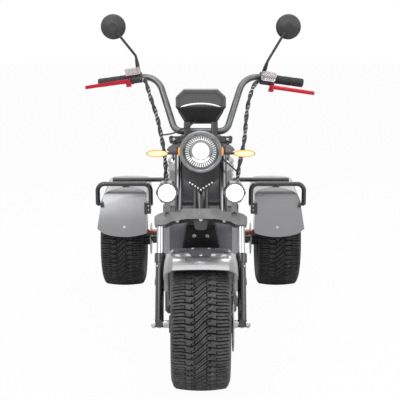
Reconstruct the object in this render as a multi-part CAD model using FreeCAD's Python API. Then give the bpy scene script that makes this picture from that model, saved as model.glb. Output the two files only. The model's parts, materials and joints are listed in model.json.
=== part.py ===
"""Three-wheeled electric chopper: one steered fat tyre in front, two behind.

The vehicle faces -Y and +Z is up. Everything is drawn with the front axle above
Y = 0 and is moved at the end, so that the origin lies on the ground below the
middle of the whole vehicle. The rider's right is at -X and the left at +X.
"""
import FreeCAD, Part
import math
import os

V = FreeCAD.Vector
SIDES = (-1, 1)

# Driving dimensions, in millimetres and degrees
WHEELBASE = 1330.0
REAR_TRACK = 780.0
TYRE_R = 240.0
TYRE_W = 212.0
RIM_R = 152.0
RAKE = 25.0

# Clearances
SEAT_GAP = 0.3
FLANGE_GAP = 6.0
PAD_GAP = 2.2

# Wheels
BEAD_HALF = 88.0
SHOULDER_DROP = 24.0
CROWN_DROP = 8.0
CROWN_HALF = 44.0
RIM_HALF = 92.0
RIM_WALL = 7.0
SPOKE_PLATE = 22.0
SPOKES = 8
HUB_R = 32.0
FRONT_AXLE_R = 10.0
FRONT_AXLE_HALF = 182.0
DISC_THICK = 4.0
DISC_FACE = 22.0
DISC_ARM = 5.0
DISC_HOLES = 12
DISC_HOLE_R = 4.0
FRONT_DISC_R = 100.0
FRONT_DISC_X = 116.0
REAR_DISC_R = 80.0
REAR_DISC_X = 258.0
REAR_SHAFT_R = 14.0

# Fork
FORK_SPREAD = 305.0
FORK_OFFSET = 40.0
SLIDER_R = 16.0
SLIDER_LOW = -12.0
SLIDER_TOP = 229.0
CAP_R = 20.5
CAP_TOP = 262.0
STANCHION_R = 13.2
YOKE_HALF = 174.0
YOKE_DEPTH = 60.0
YOKE_TOP = 429.0
YOKE_DROP = 62.0
YOKE_THICK = 39.0
YOKE_ROUND = 6.0
YOKE_ARCH = 22.0
NOTCH_X = 125.0
NOTCH_R = 10.7
UPRIGHT_SPREAD = 170.0
UPRIGHT_R = 15.0
STEM_R = 15.0
UPPER_YOKE_TOP = 716.0
UPPER_YOKE_THICK = 22.0
UPPER_YOKE_HALF = 108.0
HEAD_TUBE_R = 27.0
DOWN_TUBE_R = 18.0

# Shroud between the uprights, with its row of studs
STUDS = 5
STUD_R = 3.0
STUD_LOW = 505.0
STUD_CLIMB = 28.0
STUD_REACH = 42.0
STEM_CAP_HALF = 26.0
STEM_CAP_H = 40.0

# Plate on the front of the down tube, its places measured up along the tube
GUSSET_LOW = 70.0
GUSSET_TOP = 240.0
GUSSET_LOW_HALF = 87.0
GUSSET_TOP_HALF = 55.0

# Handlebar and controls
BAR_R = 12.7
BAR_LOW = 744.0
BAR_FOOT_X = 100.0
BAR_FOOT_BEND = 38.0
BAR_TOP_X = 171.0
BAR_TOP = 977.0
BAR_TOP_BEND = 80.0
GRIP_R = 16.0
GRIP_START_X = 283.0
GRIP_END_X = 398.0
GRIP_DROP = 36.0
GRIP_SWEEP = 50.0
RISER_SPREAD = 106.0
RISER_W = 26.0
RISER_DEPTH = 38.0
RISER_TOP = 776.0
RIGHT_ROLL = 6.0
LEFT_ROLL = 38.0

# Control perches, measured inwards along the bar, forwards and upwards from the grip's inner end
CLAMP_R = 21.0
CLAMP_OUT = 2.0
CLAMP_IN = 51.0
CYLINDER_R = 11.0
CYLINDER_OUT = 3.0
CYLINDER_IN = 51.0
CYLINDER_NOSE = 25.0
PIVOT_IN = 5.0
PIVOT_NOSE = 48.0
PIVOT_R = 9.0
PIVOT_HALF = 6.0
LEVER_THICK = 8.0
LEVER_HALF = 7.5
LEVER_SINK = 3.0
LEVER_LENGTH = 175.0
HOOK_DROP = 23.5
NECK_IN = 24.0
NECK_R = 7.0
NECK_TOP = 18.5
RESERVOIR_LENGTH = 58.0
RESERVOIR_HALF = 14.0
RESERVOIR_H = 25.0
STALK_IN = 42.0
STALK_BOSS_R = 8.0
STALK_BOSS_TOP = 52.0

# Lamps
HEADLIGHT_R = 78.0
HEADLIGHT_Y = 100.0
HEADLIGHT_Z = TYRE_R + 622.0
HEADLIGHT_DEPTH = 96.0
REFLECTOR_R = 56.0
PROJECTOR_R = 30.0
FLUTES = 40
SIGNAL_IN_X = 122.0
SIGNAL_OUT_X = 200.0
SIGNAL_Z = TYRE_R + 612.0
SIGNAL_Y = 140.0
SIGNAL_H = 25.0
SPOT_SPREAD = 250.0
SPOT_Y = 95.0
SPOT_Z = TYRE_R + 472.0
SPOT_R = 42.0
SPOT_LENS_R = 31.0
SPOT_DEPTH = 58.0

# Mirrors
MIRROR_R = 48.5
MIRROR_DEPTH = 26.0
MIRROR_X = 340.0
MIRROR_Y = 400.0
MIRROR_Z = TYRE_R + 1072.0
STALK_R = 5.0
STALK_NUT = 22.0
STALK_FIRST = 34.0

# Instrument
DIAL_W = 196.0
DIAL_TOP = TYRE_R + 832.0
DIAL_LOW = TYRE_R + 698.0
DIAL_Y = 352.0
DIAL_DEPTH = 62.0
DIAL_CHAMFER = 32.0
DIAL_HOOD = 80.0
DIAL_RIM = 11.0
DIAL_SUNK = 5.0
DISPLAY_MARGIN = 20.0
DISPLAY_SUNK = 10.0

# Cable looms, as places read off by eye: sideways, down along the fork from the bar's top, forwards of the fork
LOOM_R = 9.0
LOOM_START = 18.0
LOOM_FOOT_X = 132.0
LOOM_FOOT_UP = 4.0
LOOM_FOOT_BACK = -14.0
RIGHT_LOOM = [(-198, 96, 17), (-171, 168, 4), (-154, 248, 0), (-140, 319, -4), (-133, 397, -1)]
LEFT_LOOM = [(190, 96, 16), (177, 168, 4), (172, 248, 0), (160, 319, -4), (141, 397, -1)]

# Thin leads from the dial and the headlight, as places sideways, behind and above the front axle
LEAD_R = 3.0
DIAL_LEAD = [(-18, 349.2, 718), (-22, 322, 712), (-44, 276, 698), (-72, 250, 690), (-112, 226, 672)]
LAMP_LEAD = [(80, 176, 607.7), (80, 178, 586), (110, 200, 560)]

# Front mudguard
GUARD_R = 277.0
GUARD_WALL = 3.5
GUARD_HALF = 131.0
GUARD_FRONT = 29.0
GUARD_REAR = 92.0
GUARD_LIP = 46.0
GUARD_STAY = 190.0

# Chassis, forwards of the rear axle where it follows the wheelbase
PANEL_Y = 362.0
PANEL_HALF = 152.0
PANEL_LOW = 250.0
PANEL_TOP = 610.0
PANEL_WALL = 5.0
DECK_START = 400.0
DECK_END = WHEELBASE - 320.0
DECK_HALF = 190.0
DECK_TOP = 285.0
DECK_THICK = 18.0
CASE_HALF = 148.0
CASE_LOW = 140.0
COVER_START = 400.0
COVER_END = WHEELBASE - 240.0
COVER_HALF = 147.0
COVER_TOP = 790.0
COVER_NOSE = 84.0
COVER_ROUND = 14.0
SEAT_START = 735.0
SEAT_END = WHEELBASE + 110.0
SEAT_HALF = 172.0
SEAT_BASE_Z = 736.0
SEAT_EDGE = 12.0
SEAT_ROUND = 6.0
SEAT_SHOULDER = 300.0
PILLION_RISE = 22.0
RAIL_R = 14.0
RAIL_HALF = 95.0
RAIL_END = WHEELBASE + 50.0
ARM_LAP = 200.0
STRUT_Y = WHEELBASE - 218.0
AXLE_TUBE_R = 24.0
MOTOR_R = 88.0
MOTOR_HALF = 105.0
COIL_R = 27.0
COIL_PITCH = 24.0
CALIPER_IN_X = 223.0
CALIPER_OUT_X = 282.0
CALIPER_TOP = 301.0
CALIPER_H = 20.0

# Rear mudguards
FENDER_IN_X = 262.0
FENDER_OUT_X = 503.0
FENDER_WALL = 4.0
FENDER_FRONT_Y = WHEELBASE - 268.0
FENDER_CREASE_Y = WHEELBASE - 202.0
FENDER_LOW_Z = 312.0
FENDER_TOP_Z = 536.0
FENDER_RISE = 0.07
FENDER_SPARE = 40.0
FENDER_LEAN = 18.0
FENDER_REAR_Y = WHEELBASE + 310.0
FENDER_REAR_Z = 356.0
TYRE_ROOM = 14.0
HOOP_R = 11.0
HOOP_BEND = 34.0
HOOP_Y = WHEELBASE - 252.0
HOOP_TOP_Z = 571.0
HOOP_LOW_Z = 470.0
CROSS_BAR_Y = WHEELBASE - 130.0
CROSS_BAR_Z = 571.0
CROSS_BAR_HALF = 436.0

# Derived directions
SIN = math.sin(math.radians(RAKE))
COS = math.cos(math.radians(RAKE))
FORK_UP = V(0, SIN, COS)
FORK_FORWARD = V(0, -COS, SIN)
LEG_X = FORK_SPREAD / 2
X_AXIS = V(1, 0, 0)
Y_AXIS = V(0, 1, 0)
Z_AXIS = V(0, 0, 1)

SEAT_EDGE_Z = SEAT_BASE_Z + SEAT_EDGE
RAIL_Z = SEAT_BASE_Z - RAIL_R - SEAT_GAP

# The model is centred on its ground box, which runs from the front tyre to the rear mudguards
MIDDLE_Y = (FENDER_REAR_Y - TYRE_R) / 2


def fork(x, along, forward=0.0):
    """Point on the raked fork plane: along the legs from the axle, forward of the legs."""
    return V(x, 0, TYRE_R) + FORK_UP * along + FORK_FORWARD * forward


def rod(start, end, radius):
    return Part.makeCylinder(radius, (end - start).Length, start, end - start)


def tube(start, end, radius, bore):
    return rod(start, end, radius).cut(rod(start, end, bore))


def block(low, high):
    size = high - low
    return Part.makeBox(size.x, size.y, size.z, low)


def mirrored(shape):
    return shape.mirror(V(0, 0, 0), X_AXIS)


def both(shape):
    """The piece and its mirror image across the middle plane."""
    return Part.makeCompound([shape, mirrored(shape)])


def fused(first, *others):
    return first.fuse(list(others)).removeSplitter()


def bent_pipe(points, radius, bends):
    """Round bar along straight runs, with a tangent arc of its own radius at each corner."""
    pieces = []
    start = points[0]
    for before, corner, after, bend in zip(points, points[1:], points[2:], bends):
        way_in = (corner - before).normalize()
        way_out = (after - corner).normalize()
        turn = way_in.getAngle(way_out)
        reach = bend * math.tan(turn / 2)
        enter = corner - way_in * reach
        inward = (way_out - way_in).normalize()
        centre = corner + inward * (bend / math.cos(turn / 2))
        section = Part.Face(Part.Wire(Part.makeCircle(radius, enter, way_in)))
        pieces.append(rod(start, enter, radius))
        pieces.append(section.revolve(centre, way_in.cross(way_out), math.degrees(turn)))
        start = corner + way_out * reach
    pieces.append(rod(start, points[-1], radius))
    return fused(*pieces)


def turned(face, axis, angle=360):
    """Solid swept by a face about an axis through the origin, facing outwards."""
    body = face.revolve(V(0, 0, 0), axis, angle)
    if body.Volume < 0:
        body.reverse()
    return body


def polygon_face(points):
    return Part.Face(Part.makePolygon(points + [points[0]]))


def rounded_outline(points, radius):
    """Closed flat wire through the points, with its corners rounded by one radius or by one for each."""
    edges = []
    last = None
    first = None
    count = len(points)
    radii = radius if isinstance(radius, list) else [radius] * count
    for i, corner in enumerate(points):
        way_in = (corner - points[i - 1]).normalize()
        way_out = (points[(i + 1) % count] - corner).normalize()
        turn = way_in.getAngle(way_out)
        reach = radii[i] * math.tan(turn / 2)
        enter = corner - way_in * reach
        leave = corner + way_out * reach
        inward = (way_out - way_in).normalize()
        middle = corner + inward * (radii[i] / math.cos(turn / 2) - radii[i])
        if last is not None:
            edges.append(Part.makeLine(last, enter))
        else:
            first = enter
        edges.append(Part.Arc(enter, middle, leave).toShape())
        last = leave
    edges.append(Part.makeLine(last, first))
    return Part.Wire(edges)


def cable_bends(points):
    """The widest arcs that the runs between a cable's points allow."""
    bends = []
    for before, corner, after in zip(points, points[1:], points[2:]):
        turn = (corner - before).getAngle(after - corner)
        shorter = min((corner - before).Length, (after - corner).Length)
        bends.append(0.45 * shorter / math.tan(turn / 2))
    return bends


def tyre(x, y):
    """Fat tyre in straight stretches: bead, bulged side walls, sloped shoulders and a flat crown."""
    bulge = TYRE_W / 2
    bead_r = RIM_R + SEAT_GAP
    wall = TYRE_R - bead_r
    half = [V(BEAD_HALF, 0, bead_r), V(bulge, 0, bead_r + 0.45 * wall), V(bulge - 2, 0, TYRE_R - SHOULDER_DROP),
            V(bulge - 16, 0, TYRE_R - CROWN_DROP), V(CROWN_HALF, 0, TYRE_R)]
    section = half + [V(-point.x, 0, point.z) for point in reversed(half)]
    ring = turned(polygon_face(section), X_AXIS)
    ring.translate(V(x, y, TYRE_R))
    return ring


def rim(hub_low, hub_high, bore):
    """Cast wheel about the X axis: barrel, spoked plate and a hub from low to high."""
    barrel_in = RIM_R - RIM_WALL
    barrel = tube(V(-RIM_HALF, 0, 0), V(RIM_HALF, 0, 0), RIM_R, barrel_in)
    plate = rod(V(-SPOKE_PLATE / 2, 0, 0), V(SPOKE_PLATE / 2, 0, 0), barrel_in + 1)
    hub = rod(V(hub_low, 0, 0), V(hub_high, 0, 0), HUB_R)
    pitch = 360.0 / SPOKES
    window_in = HUB_R + 14
    window_out = barrel_in - 10
    half_in = math.radians(pitch * 0.22)
    half_out = math.radians(pitch * 0.36)
    for i in range(SPOKES):
        middle = math.radians(i * pitch)
        corners = []
        for radius, turn in ((window_in, -half_in), (window_out, -half_out),
                             (window_out, half_out), (window_in, half_in)):
            corners.append(V(-SPOKE_PLATE, radius * math.cos(middle + turn), radius * math.sin(middle + turn)))
        plate = plate.cut(polygon_face(corners).extrude(V(2 * SPOKE_PLATE, 0, 0)))
    wheel = fused(barrel, plate, hub)
    if bore:
        wheel = wheel.cut(rod(V(hub_low, 0, 0), V(hub_high, 0, 0), bore))
    return wheel


def brake_disc(x, radius, bore):
    """Disc with a ring of holes in its swept face and windows between its arms."""
    disc = tube(V(x, 0, 0), V(x + DISC_THICK, 0, 0), radius, bore)
    holes = []
    for i in range(DISC_HOLES):
        turn = 2 * math.pi * i / DISC_HOLES
        across = V(0, math.cos(turn), math.sin(turn))
        near = V(x - 1, 0, 0)
        far = V(x + DISC_THICK + 1, 0, 0)
        holes.append(rod(near + across * (radius - DISC_FACE / 2), far + across * (radius - DISC_FACE / 2), DISC_HOLE_R))
        if i % 2 == 0:
            window = (HUB_R + radius - DISC_FACE) / 2
            holes.append(rod(near + across * window, far + across * window, (radius - DISC_FACE - HUB_R) / 2 - DISC_ARM))
    return disc.cut(holes)


def front_wheel():
    centre = V(0, 0, TYRE_R)
    hub_end = FRONT_DISC_X
    wheel = rim(-hub_end, hub_end, FRONT_AXLE_R + SEAT_GAP)
    wheel.translate(centre)
    disc = brake_disc(FRONT_DISC_X, FRONT_DISC_R, HUB_R - 12)
    disc.translate(centre)
    return {"front_tyre": tyre(0, 0), "front_rim": wheel, "front_disc": disc}


def rear_wheel(side, name):
    """Rear wheel with the driven shaft that runs into the axle tube."""
    centre = V(side * REAR_TRACK / 2, WHEELBASE, TYRE_R)
    inner = REAR_TRACK / 2 - REAR_DISC_X
    wheel = rim(-inner, 45, 0)
    shaft = rod(V(-inner, 0, 0), V(-inner - 60, 0, 0), REAR_SHAFT_R)
    wheel = fused(wheel, shaft)
    disc = brake_disc(-inner - DISC_THICK, REAR_DISC_R, REAR_SHAFT_R + SEAT_GAP)
    if side < 0:
        wheel = mirrored(wheel)
        disc = mirrored(disc)
    wheel.translate(centre)
    disc.translate(centre)
    return {
        "rear_tyre_" + name: tyre(centre.x, WHEELBASE),
        "rear_rim_" + name: wheel,
        "rear_disc_" + name: disc,
    }


def front_axle():
    """Axle through both sliders, with a nut and a spacer at each end."""
    axle = rod(V(-FRONT_AXLE_HALF, 0, TYRE_R), V(FRONT_AXLE_HALF, 0, TYRE_R), FRONT_AXLE_R)
    for side in SIDES:
        out_x = side * (LEG_X + SLIDER_R + SEAT_GAP)
        in_x = side * (LEG_X - SLIDER_R - SEAT_GAP)
        nut = rod(V(out_x, 0, TYRE_R), V(out_x + side * 9, 0, TYRE_R), 15)
        hub_end = FRONT_DISC_X + SEAT_GAP
        collar = rod(V(side * hub_end, 0, TYRE_R), V(in_x, 0, TYRE_R), 14)
        axle = fused(axle, nut, collar)
    return axle


def fork_sliders():
    leg = rod(fork(LEG_X, SLIDER_LOW), fork(LEG_X, SLIDER_TOP), SLIDER_R)
    cap = rod(fork(LEG_X, SLIDER_TOP), fork(LEG_X, CAP_TOP), CAP_R)
    lug = rod(fork(LEG_X, 0, -SLIDER_R), fork(LEG_X, 0, SLIDER_R), SLIDER_R - 2)
    leg = fused(leg, cap, lug)
    hole = rod(V(LEG_X - 3 * SLIDER_R, 0, TYRE_R), V(LEG_X + 3 * SLIDER_R, 0, TYRE_R), FRONT_AXLE_R + SEAT_GAP)
    return both(leg.cut(hole))


def fork_stanchions():
    return both(rod(fork(LEG_X, CAP_TOP), fork(LEG_X, YOKE_TOP - 24), STANCHION_R))


def lower_yoke():
    """Arched bridge over the wheel, with bores for the legs, uprights and stem."""
    half = YOKE_HALF
    top = YOKE_TOP
    low = YOKE_TOP - YOKE_DROP
    shape = [(-half, top - 31), (-half + 14, top - 21), (-half + 39, top - 13), (-78, top - 12), (-70, top),
             (70, top), (78, top - 12), (half - 39, top - 13), (half - 14, top - 21), (half, top - 31),
             (half, low), (half - 42, low), (half - 64, low + 12), (56, low + YOKE_ARCH),
             (-56, low + YOKE_ARCH), (-half + 64, low + 12), (-half + 42, low), (-half, low)]
    back = -YOKE_DEPTH / 2
    outline = Part.Face(rounded_outline([fork(x, s, back) for x, s in shape], YOKE_ROUND))
    bridge = outline.extrude(FORK_FORWARD * YOKE_DEPTH)
    stem_back = -FORK_OFFSET - STEM_R - 12
    corners = [fork(x, top - YOKE_THICK, t) for x, t in
               ((-34, back + 2), (34, back + 2), (34, stem_back), (-34, stem_back))]
    bridge = fused(bridge, polygon_face(corners).extrude(FORK_UP * YOKE_THICK))
    for side in SIDES:
        bridge = bridge.cut(rod(fork(side * NOTCH_X, top - 24, 16), fork(side * NOTCH_X, top - 24, 40), NOTCH_R))
    for x, forward, radius in ((-LEG_X, 0, STANCHION_R), (LEG_X, 0, STANCHION_R),
                               (-UPRIGHT_SPREAD / 2, 0, UPRIGHT_R), (UPRIGHT_SPREAD / 2, 0, UPRIGHT_R),
                               (0, -FORK_OFFSET, STEM_R)):
        bridge = bridge.cut(rod(fork(x, low - 10, forward), fork(x, top + 10, forward), radius + SEAT_GAP))
    return bridge


def fork_uprights():
    """The two tubes between the yokes and the steering stem behind them."""
    x = UPRIGHT_SPREAD / 2
    low = YOKE_TOP - 34
    high = UPPER_YOKE_TOP + 4
    pieces = [rod(fork(-x, low), fork(-x, high), UPRIGHT_R), rod(fork(x, low), fork(x, high), UPRIGHT_R)]
    pieces.append(rod(fork(0, YOKE_TOP - YOKE_THICK, -FORK_OFFSET), fork(0, high, -FORK_OFFSET), STEM_R))
    return Part.makeCompound(pieces)


def upper_yoke():
    """Top clamp with pinch bolt bosses and the two handlebar risers."""
    low = UPPER_YOKE_TOP - UPPER_YOKE_THICK
    half = UPPER_YOKE_HALF
    shape = [(-half, 24), (-60, 24), (-40, 14), (40, 14), (60, 24), (half, 24),
             (half, -20), (34, -66), (-34, -66), (-half, -20)]
    outline = rounded_outline([fork(x, low, t) for x, t in shape], 6)
    plate = Part.Face(outline).extrude(FORK_UP * UPPER_YOKE_THICK)
    for side in SIDES:
        eye = rod(fork(side * (half + 4), low + 11, 34), fork(side * (half + 4), low + 11, -6), 10)
        plate = plate.fuse(eye)
        x = side * RISER_SPREAD / 2
        corners = [fork(x + a, UPPER_YOKE_TOP, b) for a, b in
                   ((-RISER_W / 2, -RISER_DEPTH / 2), (RISER_W / 2, -RISER_DEPTH / 2),
                    (RISER_W / 2, RISER_DEPTH / 2), (-RISER_W / 2, RISER_DEPTH / 2))]
        post = Part.Face(rounded_outline(corners, 5)).extrude(FORK_UP * (RISER_TOP - UPPER_YOKE_TOP))
        post = post.cut(rod(fork(x - RISER_W, BAR_LOW), fork(x + RISER_W, BAR_LOW), BAR_R + SEAT_GAP))
        plate = plate.fuse(post)
    for x, forward, radius in ((-UPRIGHT_SPREAD / 2, 0, UPRIGHT_R), (UPRIGHT_SPREAD / 2, 0, UPRIGHT_R),
                               (0, -FORK_OFFSET, STEM_R)):
        plate = plate.cut(rod(fork(x, low - 5, forward), fork(x, UPPER_YOKE_TOP + 5, forward), radius + SEAT_GAP))
    return plate.removeSplitter()


def grip_axis(side):
    """Start and end of the straight grip run, which sweeps back and down."""
    bend = fork(side * BAR_TOP_X, BAR_TOP)
    end = fork(side * GRIP_END_X, BAR_TOP - GRIP_DROP) + V(0, GRIP_SWEEP, 0)
    direction = (end - bend).normalize()
    start = bend + direction * ((GRIP_START_X - BAR_TOP_X) / abs(direction.x))
    return start, end, direction


def handlebar():
    points = [grip_axis(-1)[1], fork(-BAR_TOP_X, BAR_TOP), fork(-BAR_FOOT_X, BAR_LOW),
              fork(BAR_FOOT_X, BAR_LOW), fork(BAR_TOP_X, BAR_TOP), grip_axis(1)[1]]
    return bent_pipe(points, BAR_R, [BAR_TOP_BEND, BAR_FOOT_BEND, BAR_FOOT_BEND, BAR_TOP_BEND])


def grips():
    pieces = []
    for side in SIDES:
        start, end, direction = grip_axis(side)
        sleeve = rod(start, end + direction * 6, GRIP_R)
        pieces.append(sleeve.cut(rod(start - direction, end + direction * SEAT_GAP, BAR_R + SEAT_GAP)))
    return Part.makeCompound(pieces)


def perch_frame(side):
    """Origin and directions of one control perch, rolled about the bar."""
    start, end, along = grip_axis(side)
    roll = LEFT_ROLL if side > 0 else RIGHT_ROLL
    forward = V(0, -1, 0)
    forward = (forward - along * forward.dot(along)).normalize()
    up = along.cross(forward) * -side
    if up.z < 0:
        up = up * -1
    turn = math.radians(roll)
    nose = forward * math.cos(turn) - up * math.sin(turn)
    crown = up * math.cos(turn) + forward * math.sin(turn)
    return start, along, nose, crown


def perch_point(frame, inward, nose=0.0, crown=0.0):
    """Point beside the grip: inwards along the bar, then forwards and upwards."""
    start, along, forward, up = frame
    return start - along * inward + forward * nose + up * crown


def control_perches():
    """Clamp with its switch box, brake cylinder and lever arm beside each grip."""
    pieces = []
    for side in SIDES:
        frame = perch_frame(side)
        clamp = rod(perch_point(frame, CLAMP_IN), perch_point(frame, CLAMP_OUT), CLAMP_R)
        cylinder = rod(perch_point(frame, CYLINDER_IN, CYLINDER_NOSE),
                       perch_point(frame, CYLINDER_OUT, CYLINDER_NOSE), CYLINDER_R)
        arm_tip = PIVOT_NOSE - PIVOT_R - SEAT_GAP
        root = CLAMP_R - 4
        corners = [perch_point(frame, PIVOT_IN + a, root, b)
                   for a, b in ((-PIVOT_R, -PIVOT_HALF), (PIVOT_R, -PIVOT_HALF),
                                (PIVOT_R, PIVOT_HALF), (-PIVOT_R, PIVOT_HALF))]
        arm = polygon_face(corners).extrude(frame[2] * (arm_tip - root))
        neck = rod(perch_point(frame, NECK_IN, CYLINDER_NOSE), perch_point(frame, NECK_IN, CYLINDER_NOSE, NECK_TOP), NECK_R)
        boss = rod(perch_point(frame, STALK_IN, 0, BAR_R + 4), perch_point(frame, STALK_IN, 0, STALK_BOSS_TOP), STALK_BOSS_R)
        body = fused(clamp, cylinder, arm, neck, boss)
        bore = rod(perch_point(frame, CLAMP_IN + 1), perch_point(frame, 0), BAR_R + SEAT_GAP)
        pieces.append(body.cut(bore))
    return Part.makeCompound(pieces)


def lever_blade(side):
    """Flat lever with a hook below its pivot, which runs in front of the grip."""
    frame = perch_frame(side)
    hook_in = PIVOT_IN + PIVOT_R + 1
    hook_out = PIVOT_IN - PIVOT_R - 1
    tip = PIVOT_IN - LEVER_LENGTH
    outline = [(hook_in, LEVER_HALF), (tip, LEVER_HALF - LEVER_SINK - 1), (tip, -LEVER_HALF - LEVER_SINK + 1),
               (hook_out, -LEVER_HALF), (hook_out, -HOOK_DROP), (hook_in, -HOOK_DROP)]
    corners = [perch_point(frame, inward, PIVOT_NOSE - LEVER_THICK / 2, crown) for inward, crown in outline]
    blade = Part.Face(rounded_outline(corners, 2.5)).extrude(frame[2] * LEVER_THICK)
    pivot = perch_point(frame, PIVOT_IN, PIVOT_NOSE)
    eye = rod(pivot - frame[3] * PIVOT_HALF, pivot + frame[3] * PIVOT_HALF, PIVOT_R)
    return fused(blade, eye)


def brake_levers():
    return Part.makeCompound([lever_blade(side) for side in SIDES])


def fluid_reservoirs():
    """Oblong fluid pot with rounded ends over each brake cylinder."""
    pieces = []
    for side in SIDES:
        frame = perch_frame(side)
        base = NECK_TOP + SEAT_GAP
        half = RESERVOIR_LENGTH / 2
        corners = [perch_point(frame, NECK_IN + a, CYLINDER_NOSE + b, base)
                   for a, b in ((-half, -RESERVOIR_HALF), (half, -RESERVOIR_HALF),
                                (half, RESERVOIR_HALF), (-half, RESERVOIR_HALF))]
        pot = Part.Face(rounded_outline(corners, RESERVOIR_HALF - 4)).extrude(frame[3] * RESERVOIR_H)
        pieces.append(pot)
    return Part.makeCompound(pieces)


def mirrors():
    """Tapered foot, bent stalk and round cone backed head on each side, facing the rider."""
    pieces = []
    for side in SIDES:
        frame = perch_frame(side)
        foot = perch_point(frame, STALK_IN, 0, STALK_BOSS_TOP + SEAT_GAP)
        knee = foot + frame[3] * STALK_FIRST
        centre = V(side * MIRROR_X, MIRROR_Y, MIRROR_Z)
        head = V(centre.x - side * 14, centre.y - MIRROR_DEPTH + 6, centre.z - 20)
        stalk = bent_pipe([foot, knee, head], STALK_R, [22.0])
        nut = Part.makeCone(STALK_BOSS_R, STALK_R + 1, STALK_NUT, foot, frame[3])
        profile = [V(0, 0, 0), V(MIRROR_R, 0, 0), V(MIRROR_R, -6, 0), V(MIRROR_R - 6, -13, 0),
                   V(16, -MIRROR_DEPTH, 0), V(0, -MIRROR_DEPTH, 0)]
        shell = turned(polygon_face(profile), Y_AXIS)
        shell.translate(centre)
        shell = shell.cut(rod(centre + V(0, 1, 0), centre - V(0, 4, 0), MIRROR_R - 3))
        pieces.append(fused(shell, stalk, nut))
    return Part.makeCompound(pieces)


def mirror_glasses():
    pieces = []
    for side in SIDES:
        centre = V(side * MIRROR_X, MIRROR_Y, MIRROR_Z)
        pieces.append(rod(centre - V(0, 4, 0), centre - V(0, 1, 0), MIRROR_R - 3 - SEAT_GAP))
    return Part.makeCompound(pieces)


def dial_hood(inset, y):
    """Eight sided outline of the display hood, drawn in by an inset."""
    half = DIAL_W / 2 - inset
    top = DIAL_TOP - inset
    shoulder = DIAL_TOP - DIAL_CHAMFER + 2
    waist = DIAL_TOP - DIAL_HOOD + inset
    corner = half - DIAL_CHAMFER + inset * 0.4
    points = [(-corner, top), (corner, top), (half, shoulder), (half, waist + 12), (half - 10, waist),
              (-half + 10, waist), (-half, waist + 12), (-half, shoulder)]
    return Part.Face(rounded_outline([V(x, y, z) for x, z in points], 4))


def dial_bowl(inset, y):
    """Outline of the rounded shell below the hood, drawn in by an inset."""
    half = DIAL_W / 2 - 4 - inset
    top = DIAL_TOP - DIAL_HOOD + 6
    points = [(-half, top), (half, top), (half - 8, top - 18), (half - 34, DIAL_LOW + inset),
              (-half + 34, DIAL_LOW + inset), (-half + 8, top - 18)]
    return rounded_outline([V(x, y, z) for x, z in points], 8)


def instrument_housing():
    """Display hood with a sunk back panel over a rounded lower shell, on two stands."""
    front = DIAL_Y - 6
    back = DIAL_Y + DIAL_DEPTH
    upper = dial_hood(0, front).extrude(V(0, back - front, 0))
    upper = upper.cut(dial_hood(DIAL_RIM, front - 1).extrude(V(0, DIAL_SUNK + 1, 0)))
    lower = Part.makeLoft([dial_bowl(10, DIAL_Y - 2), dial_bowl(0, DIAL_Y + 12), dial_bowl(0, back - 14)], True, True)
    shell = fused(upper, lower)
    half = DIAL_W / 2 - DISPLAY_MARGIN
    window = block(V(-half, back - DISPLAY_SUNK, DIAL_LOW + 40), V(half, back + 1, DIAL_TOP - 24))
    shell = shell.cut(window)
    stand_foot = fork(0, RISER_TOP)
    for side in SIDES:
        x = side * RISER_SPREAD / 2
        stand = block(V(x - 7, stand_foot.y - 5, stand_foot.z + 6), V(x + 7, stand_foot.y + 5, DIAL_LOW + 14))
        arm = block(V(x - 7, stand_foot.y - 5, DIAL_LOW + 8), V(x + 7, DIAL_Y + 8, DIAL_LOW + 18))
        shell = shell.fuse([stand, arm])
    return shell.removeSplitter()


def instrument_display():
    half = DIAL_W / 2 - DISPLAY_MARGIN - SEAT_GAP
    back = DIAL_Y + DIAL_DEPTH - DISPLAY_SUNK
    return block(V(-half, back, DIAL_LOW + 40 + SEAT_GAP), V(half, back + 3, DIAL_TOP - 24 - SEAT_GAP))


def headlight_profile(points):
    """Solid turned about the lamp's axis from points of radius and depth."""
    face = polygon_face([V(r, HEADLIGHT_Y + d, 0) for r, d in points])
    body = turned(face, Y_AXIS)
    body.translate(V(0, 0, HEADLIGHT_Z))
    return body


def headlight_shell():
    """Hollow bowl with an ear on each side that reaches back to the uprights."""
    r = HEADLIGHT_R
    outside = [(0, HEADLIGHT_DEPTH), (30, HEADLIGHT_DEPTH - 4), (58, HEADLIGHT_DEPTH - 24), (r - 6, 44), (r - 3, 16)]
    inside = [(r - 7, 16), (r - 10, 44), (54, HEADLIGHT_DEPTH - 28), (28, HEADLIGHT_DEPTH - 8), (0, HEADLIGHT_DEPTH - 4)]
    bowl = headlight_profile(outside + inside)
    ears = []
    rise = 14
    for side in SIDES:
        upright = fork(side * UPRIGHT_SPREAD / 2, (HEADLIGHT_Z - TYRE_R) / COS)
        x_in = side * (r - 8)
        x_out = side * (UPRIGHT_SPREAD / 2 + 4)
        low_x, high_x = min(x_in, x_out), max(x_in, x_out)
        back_y = upright.y - UPRIGHT_R / COS - rise * SIN / COS - SEAT_GAP
        ears.append(block(V(low_x, HEADLIGHT_Y + 36, HEADLIGHT_Z - rise), V(high_x, back_y, HEADLIGHT_Z + rise)))
    return bowl.fuse(ears).removeSplitter()


def headlight_rim():
    r = HEADLIGHT_R
    return headlight_profile([(r - 12, 0), (r - 4, -2), (r, 4), (r, 15.7), (r - 12, 15.7)])


def headlight_lens():
    r = HEADLIGHT_R - 12 - SEAT_GAP
    return headlight_profile([(0, -4), (r * 0.6, -2), (r, 3), (r, 6), (r * 0.6, 1), (0, -1)])


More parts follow.
